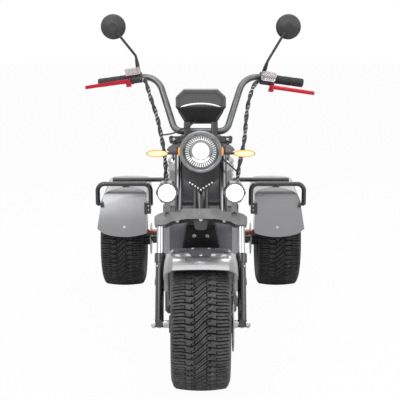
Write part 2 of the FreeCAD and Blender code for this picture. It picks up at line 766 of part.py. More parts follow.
def headlight_reflector():
    """Plain outer cone, a ring of raised flutes and a central projector."""
    r = HEADLIGHT_R - 12 - SEAT_GAP
    deep = 34
    wall = 4
    dish = headlight_profile([(PROJECTOR_R, deep), (REFLECTOR_R, 14), (r, 12), (r, 15), (REFLECTOR_R, 14 + wall),
                              (PROJECTOR_R, deep + wall)])
    inner = PROJECTOR_R + 2
    outer = REFLECTOR_R - 2
    ribs = []
    for i in range(FLUTES):
        near = polygon_face([V(-1.6, inner, deep - 1), V(1.6, inner, deep - 1), V(0, inner, deep - 5)])
        far = polygon_face([V(-2.6, outer, 17), V(2.6, outer, 17), V(0, outer, 11)])
        ridge = Part.makeLoft([near.OuterWire, far.OuterWire], True, True)
        ridge.rotate(V(0, 0, 0), Z_AXIS, 360.0 * i / FLUTES)
        ridge.rotate(V(0, 0, 0), X_AXIS, -90)
        ridge.translate(V(0, HEADLIGHT_Y, HEADLIGHT_Z))
        ribs.append(ridge)
    projector = headlight_profile([(0, 14), (18, 20), (24, 30), (PROJECTOR_R + 1, deep + 2),
                                   (PROJECTOR_R + 1, deep + 8), (0, deep + 8)])
    return dish.fuse(ribs + [projector])


def half_spindle(half_length, radius, start_turn):
    """Half of a spindle along X, turned through 180 degrees from the start."""
    steps = 8
    turns = [math.pi * i / steps for i in range(steps + 1)]
    face = polygon_face([V(half_length * math.cos(t), radius * math.sin(t), 0) for t in turns])
    face.rotate(V(0, 0, 0), X_AXIS, start_turn)
    return turned(face, X_AXIS, 180)


def turn_signals():
    """Dark pod and stem on each side, behind its amber lens."""
    middle = (SIGNAL_IN_X + SIGNAL_OUT_X) / 2
    pod = half_spindle((SIGNAL_OUT_X - SIGNAL_IN_X) / 2 + 2, SIGNAL_H / 2 + 1, -90)
    pod.translate(V(middle, SIGNAL_Y, SIGNAL_Z))
    stem_in = UPRIGHT_SPREAD / 2 + 4 + SEAT_GAP
    stem = rod(V(stem_in, SIGNAL_Y + 6, SIGNAL_Z), V(middle, SIGNAL_Y + 6, SIGNAL_Z), 5)
    return both(fused(pod, stem))


def turn_signal_lenses():
    middle = (SIGNAL_IN_X + SIGNAL_OUT_X) / 2
    lens = half_spindle((SIGNAL_OUT_X - SIGNAL_IN_X) / 2, SIGNAL_H / 2, 90)
    lens.translate(V(middle, SIGNAL_Y - SEAT_GAP, SIGNAL_Z))
    return both(lens)


def spot_lamps():
    """Six sided lamp bodies on bent brackets that stand on the lower yoke."""
    x = SPOT_SPREAD / 2
    corners = []
    for i in range(6):
        turn = math.radians(60 * i)
        corners.append(V(x + SPOT_R * math.cos(turn), SPOT_Y, SPOT_Z + SPOT_R * math.sin(turn)))
    body = Part.Face(rounded_outline(corners, 8)).extrude(V(0, SPOT_DEPTH, 0))
    body = body.cut(rod(V(x, SPOT_Y - 1, SPOT_Z), V(x, SPOT_Y + 8, SPOT_Z), SPOT_LENS_R + SEAT_GAP))
    foot = fork(x, YOKE_TOP - 8, 12)
    leg = block(V(x - 10, SPOT_Y + SPOT_DEPTH - 4, foot.z - 12), V(x + 10, foot.y + 6, SPOT_Z))
    yoke = lower_yoke()
    yoke.translate(V(0, 0, SEAT_GAP))
    leg = max(leg.cut(yoke).Solids, key=lambda solid: solid.Volume)
    return both(fused(body, leg))


def spot_lamp_lenses():
    x = SPOT_SPREAD / 2
    return both(rod(V(x, SPOT_Y + 1, SPOT_Z), V(x, SPOT_Y + 8, SPOT_Z), SPOT_LENS_R))


def guard_outline(inset):
    """Points across the front mudguard, from skirt to skirt, drawn in by the wall's thickness."""
    half = GUARD_HALF - inset
    outer = GUARD_R + GUARD_WALL - inset
    return [V(-half, 0, GUARD_R - GUARD_LIP), V(-half, 0, outer - 34), V(-half + 11, 0, outer - 16),
            V(-half + 32, 0, outer - 4), V(0, 0, outer), V(half - 32, 0, outer - 4), V(half - 11, 0, outer - 16),
            V(half, 0, outer - 34), V(half, 0, GUARD_R - GUARD_LIP)]


def front_guard():
    """Short mudguard over the front tyre, crowned across, with side stays to the sliders."""
    def run(points):
        skirt_in, low, round_in, high, middle, high_2, round_out, low_2, skirt_out = points
        return [Part.makeLine(skirt_in, low), Part.Arc(low, round_in, high).toShape(),
                Part.Arc(high, middle, high_2).toShape(), Part.Arc(high_2, round_out, low_2).toShape(),
                Part.makeLine(low_2, skirt_out)]

    outside = guard_outline(0)
    inside = guard_outline(GUARD_WALL)
    edges = run(outside) + [Part.makeLine(outside[-1], inside[-1])]
    edges += run(inside[::-1]) + [Part.makeLine(inside[0], outside[0])]
    face = Part.Face(Part.Wire(edges))
    face.rotate(V(0, 0, 0), X_AXIS, GUARD_FRONT)
    guard = turned(face, X_AXIS, -(GUARD_FRONT + GUARD_REAR))
    guard.translate(V(0, 0, TYRE_R))
    half = GUARD_HALF
    for side in SIDES:
        inner = side * (half - GUARD_WALL)
        near = fork(inner, GUARD_STAY, 0)
        tab = block(V(min(inner, side * half), near.y - 14, near.z - 40), V(max(inner, side * half), near.y + 14, near.z + 60))
        boss = rod(V(inner, near.y, near.z), V(side * (LEG_X - SLIDER_R - SEAT_GAP), near.y, near.z), 9)
        guard = guard.fuse([tab, boss])
    return guard.removeSplitter()


def front_caliper():
    """Caliper that straddles the disc behind the left slider."""
    x_in = FRONT_DISC_X - 14
    x_out = FRONT_DISC_X + DISC_THICK + 12
    centre_y = 64
    centre_z = TYRE_R + 70
    body = block(V(x_in, centre_y - 22, centre_z - 30), V(x_out, centre_y + 26, centre_z + 30))
    body = body.makeFillet(6, [e for e in body.Edges if abs(e.Vertexes[0].X - e.Vertexes[-1].X) > 1])
    slot = block(V(FRONT_DISC_X - PAD_GAP, centre_y - 40, centre_z - 60),
                 V(FRONT_DISC_X + DISC_THICK + PAD_GAP, centre_y + 30, centre_z + 25))
    lug = block(V(x_out - 4, centre_y - 26, centre_z - 16), V(LEG_X, centre_y, centre_z + 16))
    lug = lug.cut(rod(fork(LEG_X, 0), fork(LEG_X, SLIDER_TOP), SLIDER_R + SEAT_GAP))
    lug = max(lug.Solids, key=lambda solid: solid.Volume)
    return fused(body.cut(slot), lug)


def cable_looms():
    """Wrapped cable bundles from the controls to the lower yoke, each with a thin lead from a lamp or the dial."""
    pieces = []
    for side, route, lead, joint in ((-1, RIGHT_LOOM, DIAL_LEAD, 2), (1, LEFT_LOOM, LAMP_LEAD, 4)):
        frame = perch_frame(side)
        top = perch_point(frame, CYLINDER_IN + SEAT_GAP, CYLINDER_NOSE)
        foot = fork(side * LOOM_FOOT_X, YOKE_TOP + LOOM_FOOT_UP, LOOM_FOOT_BACK)
        middle = [fork(x, BAR_TOP - down, forward) for x, down, forward in route]
        points = [top, top - frame[1] * LOOM_START] + middle + [foot]
        loom = bent_pipe(points, LOOM_R, cable_bends(points))
        lead_points = [V(x, y, TYRE_R + z) for x, y, z in lead] + [middle[joint]]
        pieces.append(fused(loom, bent_pipe(lead_points, LEAD_R, cable_bends(lead_points))))
    return Part.makeCompound(pieces)


def is_low_corner(edge, along):
    """Whether an edge runs forward, square to the fork plane, at a height along the legs."""
    start, end = edge.Vertexes[0].Point, edge.Vertexes[-1].Point
    level = (start - V(0, 0, TYRE_R)).dot(FORK_UP)
    return abs((end - start).dot(FORK_UP)) < 0.1 and abs(start.x - end.x) < 0.1 and abs(level - along) < 0.1


def stud_places():
    """Places of the raised studs along the pointed edge of the shroud, in two straight rows."""
    rows = []
    for i in range(STUDS):
        share = i / (STUDS - 1)
        rows.append((STUD_REACH * share, STUD_LOW + STUD_CLIMB * share))
    return rows + [(-x, s) for x, s in rows[1:]]


def front_shroud():
    """Plate with a pointed lower edge between the uprights, and the cap below the stem."""
    front = 8
    half = UPRIGHT_SPREAD / 2 - math.sqrt(UPRIGHT_R ** 2 - front ** 2) - SEAT_GAP
    shape = [(-half, 660), (-half, 560), (-36, 520), (0, 496), (36, 520), (half, 560), (half, 660)]
    plate = polygon_face([fork(x, s, front) for x, s in shape]).extrude(FORK_FORWARD * 5)
    plate = plate.fuse([rod(fork(x, s, front + 4), fork(x, s, front + 8), STUD_R) for x, s in stud_places()])
    top = YOKE_TOP - YOKE_DROP + YOKE_ARCH - SEAT_GAP
    cap = [(-STEM_CAP_HALF, top), (STEM_CAP_HALF, top), (STEM_CAP_HALF - 4, top - STEM_CAP_H), (4 - STEM_CAP_HALF, top - STEM_CAP_H)]
    face = polygon_face([fork(x, s, 12) for x, s in cap])
    stem_cap = face.extrude(FORK_FORWARD * 9)
    stem_cap = stem_cap.makeFillet(14, [e for e in stem_cap.Edges if is_low_corner(e, top - STEM_CAP_H)])
    return Part.makeCompound([plate, stem_cap])


def head_tube():
    """Head tube with the neck, the down tube and the gusset plate that join it to the body."""
    low = YOKE_TOP + FLANGE_GAP + 4
    high = UPPER_YOKE_TOP - UPPER_YOKE_THICK - FLANGE_GAP - 2
    tube_solid = rod(fork(0, low, -FORK_OFFSET), fork(0, high, -FORK_OFFSET), HEAD_TUBE_R)
    neck_y = COVER_START - SEAT_GAP
    centre = fork(0, (low + high) / 2 + 20, -FORK_OFFSET)
    neck = block(V(-20, centre.y, centre.z - 60), V(20, neck_y, centre.z + 20))
    start = fork(0, low + 100, -FORK_OFFSET)
    end = V(0, PANEL_Y - 26, PANEL_LOW + 70)
    down = rod(start, end, DOWN_TUBE_R)
    foot = block(V(-40, PANEL_Y - 44, PANEL_LOW + 20), V(40, PANEL_Y - SEAT_GAP, PANEL_LOW + 76))
    way = (start - end).normalize()
    out = way.cross(X_AXIS)
    if out.y > 0:
        out = out * -1
    origin = end + out * (DOWN_TUBE_R - 6)
    outline = [(-GUSSET_LOW_HALF, GUSSET_LOW), (GUSSET_LOW_HALF, GUSSET_LOW), (GUSSET_TOP_HALF, GUSSET_TOP), (-GUSSET_TOP_HALF, GUSSET_TOP)]
    gusset = polygon_face([origin + X_AXIS * x + way * s for x, s in outline]).extrude(out * 10)
    ribs = []
    for side in SIDES:
        edge = [(side * GUSSET_LOW_HALF, GUSSET_LOW), (side * (GUSSET_LOW_HALF - 7), GUSSET_LOW),
                (side * (GUSSET_TOP_HALF - 7), GUSSET_TOP), (side * GUSSET_TOP_HALF, GUSSET_TOP)]
        ribs.append(polygon_face([origin + X_AXIS * x + way * s for x, s in edge]).extrude(out * 16))
    solid = fused(tube_solid, neck, down, foot, gusset, *ribs)
    return solid.cut(rod(fork(0, low - 5, -FORK_OFFSET), fork(0, high + 5, -FORK_OFFSET), STEM_R + SEAT_GAP))


def front_panel():
    """Leg shield behind the front wheel, bent back at its sides."""
    half = PANEL_HALF
    back = DECK_START - SEAT_GAP
    outer = [V(-half, back, PANEL_LOW), V(-half, PANEL_Y + 12, PANEL_LOW), V(-half + 26, PANEL_Y, PANEL_LOW),
             V(half - 26, PANEL_Y, PANEL_LOW), V(half, PANEL_Y + 12, PANEL_LOW), V(half, back, PANEL_LOW),
             V(half - PANEL_WALL, back, PANEL_LOW), V(half - PANEL_WALL, PANEL_Y + 12 + PANEL_WALL, PANEL_LOW),
             V(half - 28, PANEL_Y + PANEL_WALL, PANEL_LOW), V(-half + 28, PANEL_Y + PANEL_WALL, PANEL_LOW),
             V(-half + PANEL_WALL, PANEL_Y + 12 + PANEL_WALL, PANEL_LOW), V(-half + PANEL_WALL, back, PANEL_LOW)]
    return polygon_face(outer).extrude(V(0, 0, PANEL_TOP - PANEL_LOW))


def battery_case():
    case = block(V(-CASE_HALF, DECK_START + 6, CASE_LOW), V(CASE_HALF, DECK_END - 6, DECK_TOP - DECK_THICK))
    return case.makeChamfer(12, [e for e in case.Edges if min(v.Z for v in e.Vertexes) < CASE_LOW + 1])


def deck():
    board = block(V(-DECK_HALF, DECK_START, DECK_TOP - DECK_THICK), V(DECK_HALF, DECK_END, DECK_TOP))
    return board.makeFillet(6, [e for e in board.Edges if abs(e.Vertexes[0].Z - e.Vertexes[-1].Z) > 1])


def cover_section(y, half, low, top):
    """Rounded outline across the tank and side covers at one place along the vehicle."""
    middle = low + (top - low) * 0.62
    corners = [V(-half * 0.72, y, low), V(half * 0.72, y, low), V(half, y, middle), V(half * 0.9, y, top - 42),
               V(half * 0.48, y, top), V(-half * 0.48, y, top), V(-half * 0.9, y, top - 42), V(-half, y, middle)]
    flank = half * 0.55
    crest = half * 0.3
    return rounded_outline(corners, [COVER_ROUND, COVER_ROUND, flank, crest, crest, crest, crest, flank])


def body_cover():
    """Tank and side covers in one shape, through sections that swell behind the nose and narrow under the seat."""
    bottom = DECK_TOP + SEAT_GAP
    length = COVER_END - COVER_START
    sections = []
    for share, half, low, top in ((0.0, COVER_NOSE, 430, COVER_TOP - 18),
                                  (0.06, COVER_NOSE + 26, 368, COVER_TOP - 6),
                                  (0.16, COVER_HALF - 8, bottom, COVER_TOP),
                                  (0.32, COVER_HALF, bottom, COVER_TOP - 6),
                                  (0.48, COVER_HALF, bottom, COVER_TOP - 30),
                                  (0.74, COVER_HALF - 4, bottom + 50, COVER_TOP - 40),
                                  (1.0, COVER_HALF - 14, bottom + 160, COVER_TOP - 44)):
        sections.append(cover_section(COVER_START + share * length, half, low, top))
    cover = Part.makeLoft(sections, True, True)
    seat_room = block(V(-SEAT_HALF, SEAT_START - SEAT_GAP, SEAT_BASE_Z - SEAT_GAP),
                      V(SEAT_HALF, COVER_END + 10, COVER_TOP + 10))
    return cover.cut(seat_room)


def seat_section(y, half, rise):
    """Rounded outline across the saddle, flat below and crowned above."""
    corners = [V(-half, y, SEAT_EDGE_Z), V(-half * 0.72, y, SEAT_EDGE_Z + rise), V(0, y, SEAT_EDGE_Z + rise + 7),
               V(half * 0.72, y, SEAT_EDGE_Z + rise), V(half, y, SEAT_EDGE_Z),
               V(half * 0.82, y, SEAT_BASE_Z), V(-half * 0.82, y, SEAT_BASE_Z)]
    shoulder = half ** 2 / SEAT_SHOULDER
    return rounded_outline(corners, [SEAT_ROUND, shoulder, 2 * shoulder, shoulder, SEAT_ROUND, SEAT_ROUND, SEAT_ROUND])


def seat():
    """Wide saddle with a narrow nose and a raised pillion part, plain here."""
    length = SEAT_END - SEAT_START
    sections = []
    for share, half, rise in ((0.0, 62, 22), (0.1, 92, 22), (0.24, 142, 19), (0.38, SEAT_HALF, 19), (0.5, SEAT_HALF - 6, 21),
                              (0.58, SEAT_HALF - 26, 21 + PILLION_RISE), (0.8, 136, 20 + PILLION_RISE),
                              (1.0, 106, 14 + PILLION_RISE)):
        sections.append(seat_section(SEAT_START + share * length, half, rise))
    return Part.makeLoft(sections, True, True)


def arm_height(y):
    """Height of the lower rails above the ground at a place along the vehicle."""
    start_y = DECK_END - ARM_LAP
    end_y = WHEELBASE - AXLE_TUBE_R - 10
    start_z = CASE_LOW + 50
    end_z = TYRE_R - 30
    return start_z + (end_z - start_z) * (y - start_y) / (end_y - start_y)


def seat_frame():
    """Rails under the seat, struts down to the lower rails and posts to the cross bar."""
    thin = RAIL_R - 3
    pieces = []
    for side in SIDES:
        x = side * RAIL_HALF
        pieces.append(rod(V(x, COVER_END + SEAT_GAP, RAIL_Z), V(x, RAIL_END, RAIL_Z), RAIL_R))
        strut_low = arm_height(STRUT_Y) + thin + SEAT_GAP
        pieces.append(rod(V(x, STRUT_Y, strut_low), V(x, STRUT_Y, RAIL_Z), thin))
        post_low = CROSS_BAR_Z + HOOP_R + SEAT_GAP
        pieces.append(rod(V(x, CROSS_BAR_Y, post_low), V(x, CROSS_BAR_Y, RAIL_Z), thin))
    for y in (CROSS_BAR_Y, RAIL_END - thin):
        pieces.append(rod(V(-RAIL_HALF, y, RAIL_Z), V(RAIL_HALF, y, RAIL_Z), thin))
    return fused(pieces[0], *pieces[1:])


def rear_arms():
    """Lower rails from the battery case back to the axle tube, with one cross tube."""
    x = CASE_HALF + RAIL_R + SEAT_GAP
    pieces = []
    for side in SIDES:
        start = V(side * x, DECK_END - ARM_LAP, arm_height(DECK_END - ARM_LAP))
        end_y = WHEELBASE - AXLE_TUBE_R - 10
        arm = rod(start, V(side * x, end_y, arm_height(end_y)), RAIL_R)
        plate = block(V(side * x - 5, WHEELBASE - 60, TYRE_R - 46), V(side * x + 5, WHEELBASE + 44, TYRE_R + 44))
        pieces.append(arm)
        pieces.append(plate)
    z = arm_height(STRUT_Y)
    pieces.append(rod(V(-x, STRUT_Y, z), V(x, STRUT_Y, z), RAIL_R - 3))
    arms = fused(pieces[0], *pieces[1:])
    return arms.cut(rod(V(-x - 9, WHEELBASE, TYRE_R), V(x + 9, WHEELBASE, TYRE_R), AXLE_TUBE_R + SEAT_GAP))


def rear_axle():
    """Axle tubes either side of the motor and differential case, with the caliper plates."""
    half = REAR_DISC_X - DISC_THICK - FLANGE_GAP
    axle = rod(V(-half, WHEELBASE, TYRE_R), V(half, WHEELBASE, TYRE_R), AXLE_TUBE_R)
    motor = rod(V(-MOTOR_HALF, WHEELBASE, TYRE_R), V(MOTOR_HALF, WHEELBASE, TYRE_R), MOTOR_R)
    motor = motor.makeChamfer(14, [e for e in motor.Edges if len(e.Vertexes) == 1])
    flange = rod(V(-5, WHEELBASE, TYRE_R), V(5, WHEELBASE, TYRE_R), MOTOR_R + 5)
    pieces = [axle, motor, flange]
    plate_out = CALIPER_IN_X - SEAT_GAP
    for side in SIDES:
        low_x, high_x = sorted((side * (plate_out - 7), side * plate_out))
        pieces.append(block(V(low_x, WHEELBASE - REAR_DISC_R - 8, TYRE_R - 14),
                            V(high_x, WHEELBASE + 10, CALIPER_TOP)))
    axle = fused(*pieces)
    for side in SIDES:
        reach = REAR_DISC_X - 70
        axle = axle.cut(rod(V(side * reach, WHEELBASE, TYRE_R), V(side * (half + 5), WHEELBASE, TYRE_R), REAR_SHAFT_R + SEAT_GAP))
    return axle


def rear_shocks():
    """Damper in its spring, from the axle tube to the seat rails."""
    x = RAIL_HALF + 44
    low = V(x, WHEELBASE - 6, TYRE_R + AXLE_TUBE_R + 12)
    high = V(x, WHEELBASE - 70, RAIL_Z)
    way = (high - low).normalize()
    start = 60
    turns = int(((high - low).Length - start - 50) // COIL_PITCH)
    outline = [(0, start)]
    for i in range(turns):
        foot = start + i * COIL_PITCH
        outline += [(COIL_R - 6, foot), (COIL_R, foot + 0.27 * COIL_PITCH), (COIL_R, foot + 0.6 * COIL_PITCH)]
    end = start + turns * COIL_PITCH
    outline += [(COIL_R - 6, end), (0, end)]
    section = polygon_face([low + way * s + X_AXIS * r for r, s in outline])
    coil = section.revolve(low, way, 360)
    if coil.Volume < 0:
        coil.reverse()
    shock = rod(low, high, 8)
    eye_low = rod(low - V(12, 0, 0), low + V(12, 0, 0), 12 - SEAT_GAP)
    eye_high = rod(high - V(44 - RAIL_R - SEAT_GAP, 0, 0), high + V(12, 0, 0), 12)
    return both(fused(shock, coil, eye_low, eye_high))


def fender_side(inset):
    """Side outline of a rear mudguard: leaning bowed front, long back and an open lower edge."""
    front = V(0, FENDER_FRONT_Y + inset, FENDER_LOW_Z)
    nose = V(0, FENDER_CREASE_Y + inset, FENDER_TOP_Z - 20)
    high = V(0, FENDER_CREASE_Y + 24 + inset, FENDER_TOP_Z + 24 - inset)
    crest = V(0, WHEELBASE, FENDER_TOP_Z + 30 - inset)
    rear = V(0, FENDER_REAR_Y - inset, FENDER_REAR_Z)
    bow = V(0, (front.y + nose.y) / 2 - 9, (front.z + nose.z) / 2)
    behind = V(0, WHEELBASE + 222 - inset * 0.7, TYRE_R + 236 - inset * 0.7)
    edges = [
        Part.Arc(front, bow, nose).toShape(),
        Part.makeLine(nose, high),
        Part.makeLine(high, crest),
        Part.Arc(crest, behind, rear).toShape(),
        Part.makeLine(rear, front),
    ]
    return Part.Face(Part.Wire(edges))


def fender_arch(inset):
    """Front outline of the left rear mudguard: leaning outer side, round shoulders, bowed lower edge."""
    in_x = FENDER_IN_X + inset
    out_x = FENDER_OUT_X - inset
    top = FENDER_TOP_Z - inset
    low = FENDER_LOW_Z - 40 if inset else FENDER_LOW_Z
    inner_low = V(in_x, 0, low + 18)
    inner_high = V(in_x, 0, top - 40)
    inner_bend = V(in_x + 6, 0, top - 22)
    crown_in = V(in_x + 26, 0, top - 10)
    crown = V((in_x + out_x) / 2, 0, top)
    crown_out = V(out_x - 62, 0, top - 12)
    outer_bend = V(out_x - 33, 0, top - 29)
    outer_high = V(out_x - FENDER_LEAN, 0, top - 62)
    outer_low = V(out_x, 0, low + 38)
    corner = V(out_x - 30, 0, low + 16)
    belly = V((in_x + out_x) / 2, 0, low)
    edges = [
        Part.makeLine(inner_low, inner_high),
        Part.Arc(inner_high, inner_bend, crown_in).toShape(),
        Part.Arc(crown_in, crown, crown_out).toShape(),
        Part.Arc(crown_out, outer_bend, outer_high).toShape(),
        Part.makeLine(outer_high, outer_low),
        Part.makeLine(outer_low, corner),
        Part.Arc(corner, belly, inner_low).toShape(),
    ]
    return Part.Face(Part.Wire(edges))


def fender_form(inset):
    """The left rear mudguard as a full body: its side outline and its front outline, crossed."""
    side = fender_side(inset)
    side.translate(V(FENDER_IN_X - 20, 0, 0))
    side = side.extrude(V(FENDER_OUT_X - FENDER_IN_X + 40, 0, 0))
    arch = fender_arch(inset)
    arch.translate(V(0, FENDER_FRONT_Y - FENDER_SPARE, -FENDER_RISE * FENDER_SPARE))
    length = FENDER_REAR_Y - FENDER_FRONT_Y + 2 * FENDER_SPARE
    return side.common(arch.extrude(V(0, length, length * FENDER_RISE)))


def rear_fenders():
    shell = fender_form(0).cut(fender_form(FENDER_WALL))
    tyre_room = rod(V(FENDER_IN_X - 1, WHEELBASE, TYRE_R), V(FENDER_OUT_X + 1, WHEELBASE, TYRE_R), TYRE_R + TYRE_ROOM)
    shell = shell.cut(tyre_room)
    shell = max(shell.Solids, key=lambda solid: solid.Volume)
    return both(shell)


def fender_hoops():
    """Guard hoop in front of each rear mudguard, with a bracket plate at its inner leg."""
    x_in = FENDER_IN_X - 20
    x_out = FENDER_OUT_X - HOOP_R / 2
    points = [V(x_in, HOOP_Y, HOOP_LOW_Z), V(x_in, HOOP_Y, HOOP_TOP_Z),
              V(x_out, HOOP_Y, HOOP_TOP_Z), V(x_out, HOOP_Y, HOOP_LOW_Z)]
    hoop = bent_pipe(points, HOOP_R, [HOOP_BEND, HOOP_BEND])
    fender = fender_form(0)
    inner = block(V(x_in, HOOP_Y - 3, HOOP_LOW_Z - 46), V(FENDER_IN_X + 12, FENDER_CREASE_Y, HOOP_LOW_Z + 8))
    outer = block(V(x_out - 24, HOOP_Y - 3, HOOP_LOW_Z - 6), V(x_out + 3, FENDER_CREASE_Y, HOOP_LOW_Z + 8))
    for plate in (inner, outer):
        tab = min(plate.cut(fender).Solids, key=lambda solid: solid.CenterOfMass.y)
        hoop = hoop.fuse(tab)
    return both(hoop.removeSplitter())


def cross_bar():
    """Bar across the vehicle, on a tab to the top of each rear mudguard."""
    bar = rod(V(-CROSS_BAR_HALF, CROSS_BAR_Y, CROSS_BAR_Z), V(CROSS_BAR_HALF, CROSS_BAR_Y, CROSS_BAR_Z), HOOP_R)
    middle = (FENDER_IN_X + FENDER_OUT_X) / 2 - 10
    tab = block(V(middle - 18, CROSS_BAR_Y - 3, CROSS_BAR_Z - HOOP_R - 30), V(middle + 18, CROSS_BAR_Y + 3, CROSS_BAR_Z))
    tab = max(tab.cut(fender_form(0)).Solids, key=lambda solid: solid.CenterOfMass.z)
    return fused(bar, tab, mirrored(tab))


def tail_lamp():
    """Rounded lamp block behind the seat rails."""
    y = RAIL_END + SEAT_GAP
    lamp = block(V(-70, y, RAIL_Z - 34), V(70, y + 34, RAIL_Z + RAIL_R - SEAT_GAP))
    return lamp.makeFillet(9, [e for e in lamp.Edges if min(v.Y for v in e.Vertexes) > y + 30])


def rear_calipers():
    """Slim red calipers in front of the rear discs, each on the axle's plate."""
    front = WHEELBASE - REAR_DISC_R - 16
    body = block(V(CALIPER_IN_X, front, CALIPER_TOP - CALIPER_H), V(CALIPER_OUT_X, front + 44, CALIPER_TOP))
    body = body.makeFillet(5, [e for e in body.Edges if abs(e.Vertexes[0].X - e.Vertexes[-1].X) > 1])
    disc_x = REAR_DISC_X - DISC_THICK
    slot = block(V(disc_x - PAD_GAP, front + 10, CALIPER_TOP - CALIPER_H - 1), V(REAR_DISC_X + PAD_GAP, front + 60, CALIPER_TOP + 1))
    return both(body.cut(slot))


def build():
    parts = {
        "head_tube": head_tube(),
        "front_panel": front_panel(),
        "battery_case": battery_case(),
        "deck": deck(),
        "body_cover": body_cover(),
        "seat": seat(),
        "seat_frame": seat_frame(),
        "rear_arms": rear_arms(),
        "rear_axle": rear_axle(),
        "rear_shocks": rear_shocks(),
        "rear_fenders": rear_fenders(),
        "fender_hoops": fender_hoops(),
        "cross_bar": cross_bar(),
        "tail_lamp": tail_lamp(),
        "rear_calipers": rear_calipers(),
        "fork_uprights": fork_uprights(),
        "lower_yoke": lower_yoke(),
        "upper_yoke": upper_yoke(),
        "handlebar": handlebar(),
        "grips": grips(),
        "control_perches": control_perches(),
        "brake_levers": brake_levers(),
        "fluid_reservoirs": fluid_reservoirs(),
        "mirrors": mirrors(),
        "mirror_glasses": mirror_glasses(),
        "instrument_housing": instrument_housing(),
        "instrument_display": instrument_display(),
        "headlight_shell": headlight_shell(),
        "headlight_rim": headlight_rim(),
        "headlight_reflector": headlight_reflector(),
        "headlight_lens": headlight_lens(),
        "turn_signals": turn_signals(),
        "turn_signal_lenses": turn_signal_lenses(),
        "spot_lamps": spot_lamps(),
        "spot_lamp_lenses": spot_lamp_lenses(),
        "front_shroud": front_shroud(),
        "fork_sliders": fork_sliders(),
        "fork_stanchions": fork_stanchions(),
        "front_axle": front_axle(),
        "front_guard": front_guard(),
        "front_caliper": front_caliper(),
        "cable_looms": cable_looms(),
    }
    parts.update(front_wheel())
    parts.update(rear_wheel(-1, "right"))
    parts.update(rear_wheel(1, "left"))
    return parts


def write(parts):
    os.makedirs("parts", exist_ok=True)
    for name, shape in parts.items():
        shape.translate(V(0, -MIDDLE_Y, 0))
        shape.exportStep("parts/" + name + ".step")


write(build())
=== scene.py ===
"""Looks of the three-wheeled electric chopper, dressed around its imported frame.

Everything is in metres in the frame's own axes: the chopper faces -Y, +Z is up, the ground is
Z = 0, the rider's right is at -X and the left at +X. Sizes that the frame already holds are read
from the boxes of its nodes. New surfaces are worked out as whole arrays of points.
"""
import json
import math

import bmesh
import bpy
import numpy as np
from bpy.props import FloatProperty, FloatVectorProperty, IntProperty, PointerProperty
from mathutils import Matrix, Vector
from mathutils.bvhtree import BVHTree


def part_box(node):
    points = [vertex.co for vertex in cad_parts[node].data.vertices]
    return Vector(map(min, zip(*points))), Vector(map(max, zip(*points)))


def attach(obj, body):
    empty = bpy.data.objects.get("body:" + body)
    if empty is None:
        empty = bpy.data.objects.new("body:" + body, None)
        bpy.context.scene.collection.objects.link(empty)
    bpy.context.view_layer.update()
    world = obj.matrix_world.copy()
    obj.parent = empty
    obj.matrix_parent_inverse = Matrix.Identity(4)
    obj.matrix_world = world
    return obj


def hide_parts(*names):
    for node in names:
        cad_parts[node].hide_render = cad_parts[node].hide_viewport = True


bl_info = {
    "name": "Electric Chopper Looks",
    "version": (1, 0, 0),
    "blender": (4, 5, 0),
    "location": "3D View > Sidebar > Chopper",
    "description": "Dresses the packed frame of a three-wheeled electric chopper",
    "category": "Object",
}

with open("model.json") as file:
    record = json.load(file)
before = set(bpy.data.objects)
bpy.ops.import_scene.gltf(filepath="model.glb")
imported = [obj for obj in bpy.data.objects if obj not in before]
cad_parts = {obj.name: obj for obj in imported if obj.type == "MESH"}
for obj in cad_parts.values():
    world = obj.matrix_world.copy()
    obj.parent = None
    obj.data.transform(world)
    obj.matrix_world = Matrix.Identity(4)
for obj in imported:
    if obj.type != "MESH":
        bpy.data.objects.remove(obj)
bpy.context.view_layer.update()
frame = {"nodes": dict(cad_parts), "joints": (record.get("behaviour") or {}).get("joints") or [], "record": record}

# Directions, with those of the fork from the steering joint
X_AXIS = np.array((1.0, 0.0, 0.0))
Y_AXIS = np.array((0.0, 1.0, 0.0))
Z_AXIS = np.array((0.0, 0.0, 1.0))
SIDES = (-1, 1)
JOINTS = {joint["name"]: joint for joint in frame["joints"]}
FORK_UP = np.array(JOINTS["steering"]["axis"])
FORK_FORWARD = np.array((0.0, -FORK_UP[2], FORK_UP[1]))

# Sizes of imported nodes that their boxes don't give
FLUTES = 40
STUDS = 5
BEAD_HALF = 0.088
BEAD_RADIUS = 0.1523
GRIP_RADIUS = 0.016
AMBER_INNER = 0.122

# Corners of the cable looms and of the leads that join them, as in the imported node
LOOMS = (
    ((-0.2361, -0.3022, 1.1135), (-0.2185, -0.3049, 1.116), (-0.198, -0.3431, 1.0456),
     (-0.171, -0.3617, 0.9749), (-0.154, -0.3919, 0.9007), (-0.14, -0.4183, 0.8347),
     (-0.133, -0.454, 0.7652), (-0.132, -0.5043, 0.6265)),
    ((0.2335, -0.2971, 1.1009), (0.2159, -0.2998, 1.1035), (0.19, -0.3422, 1.0452),
     (0.177, -0.3617, 0.9749), (0.172, -0.3919, 0.9007), (0.16, -0.4183, 0.8347),
     (0.141, -0.454, 0.7652), (0.132, -0.5043, 0.6265)),
)
LEADS = (
    ((-0.018, -0.3508, 0.958), (-0.022, -0.378, 0.952), (-0.044, -0.424, 0.938),
     (-0.072, -0.45, 0.93), (-0.112, -0.474, 0.912), (-0.154, -0.3919, 0.9007)),
    ((0.08, -0.524, 0.8477), (0.08, -0.522, 0.826), (0.11, -0.5, 0.8), (0.141, -0.454, 0.7652)),
)

# The photographer's camera, fitted to the three tyres
CAMERA_BACK = 3.047
CAMERA_HEIGHT = 1.305
CAMERA_PITCH = 11.15
FOCAL_PIXELS = 869.5
PICTURE_PIXELS = 400
SENSOR = 36.0
CAMERA_SHIFT = -0.002

# Share of plain white in what the camera sees of the floor, and the floor's reach
FLOOR_WHITE = 0.96
FLOOR_REACH = 30.0

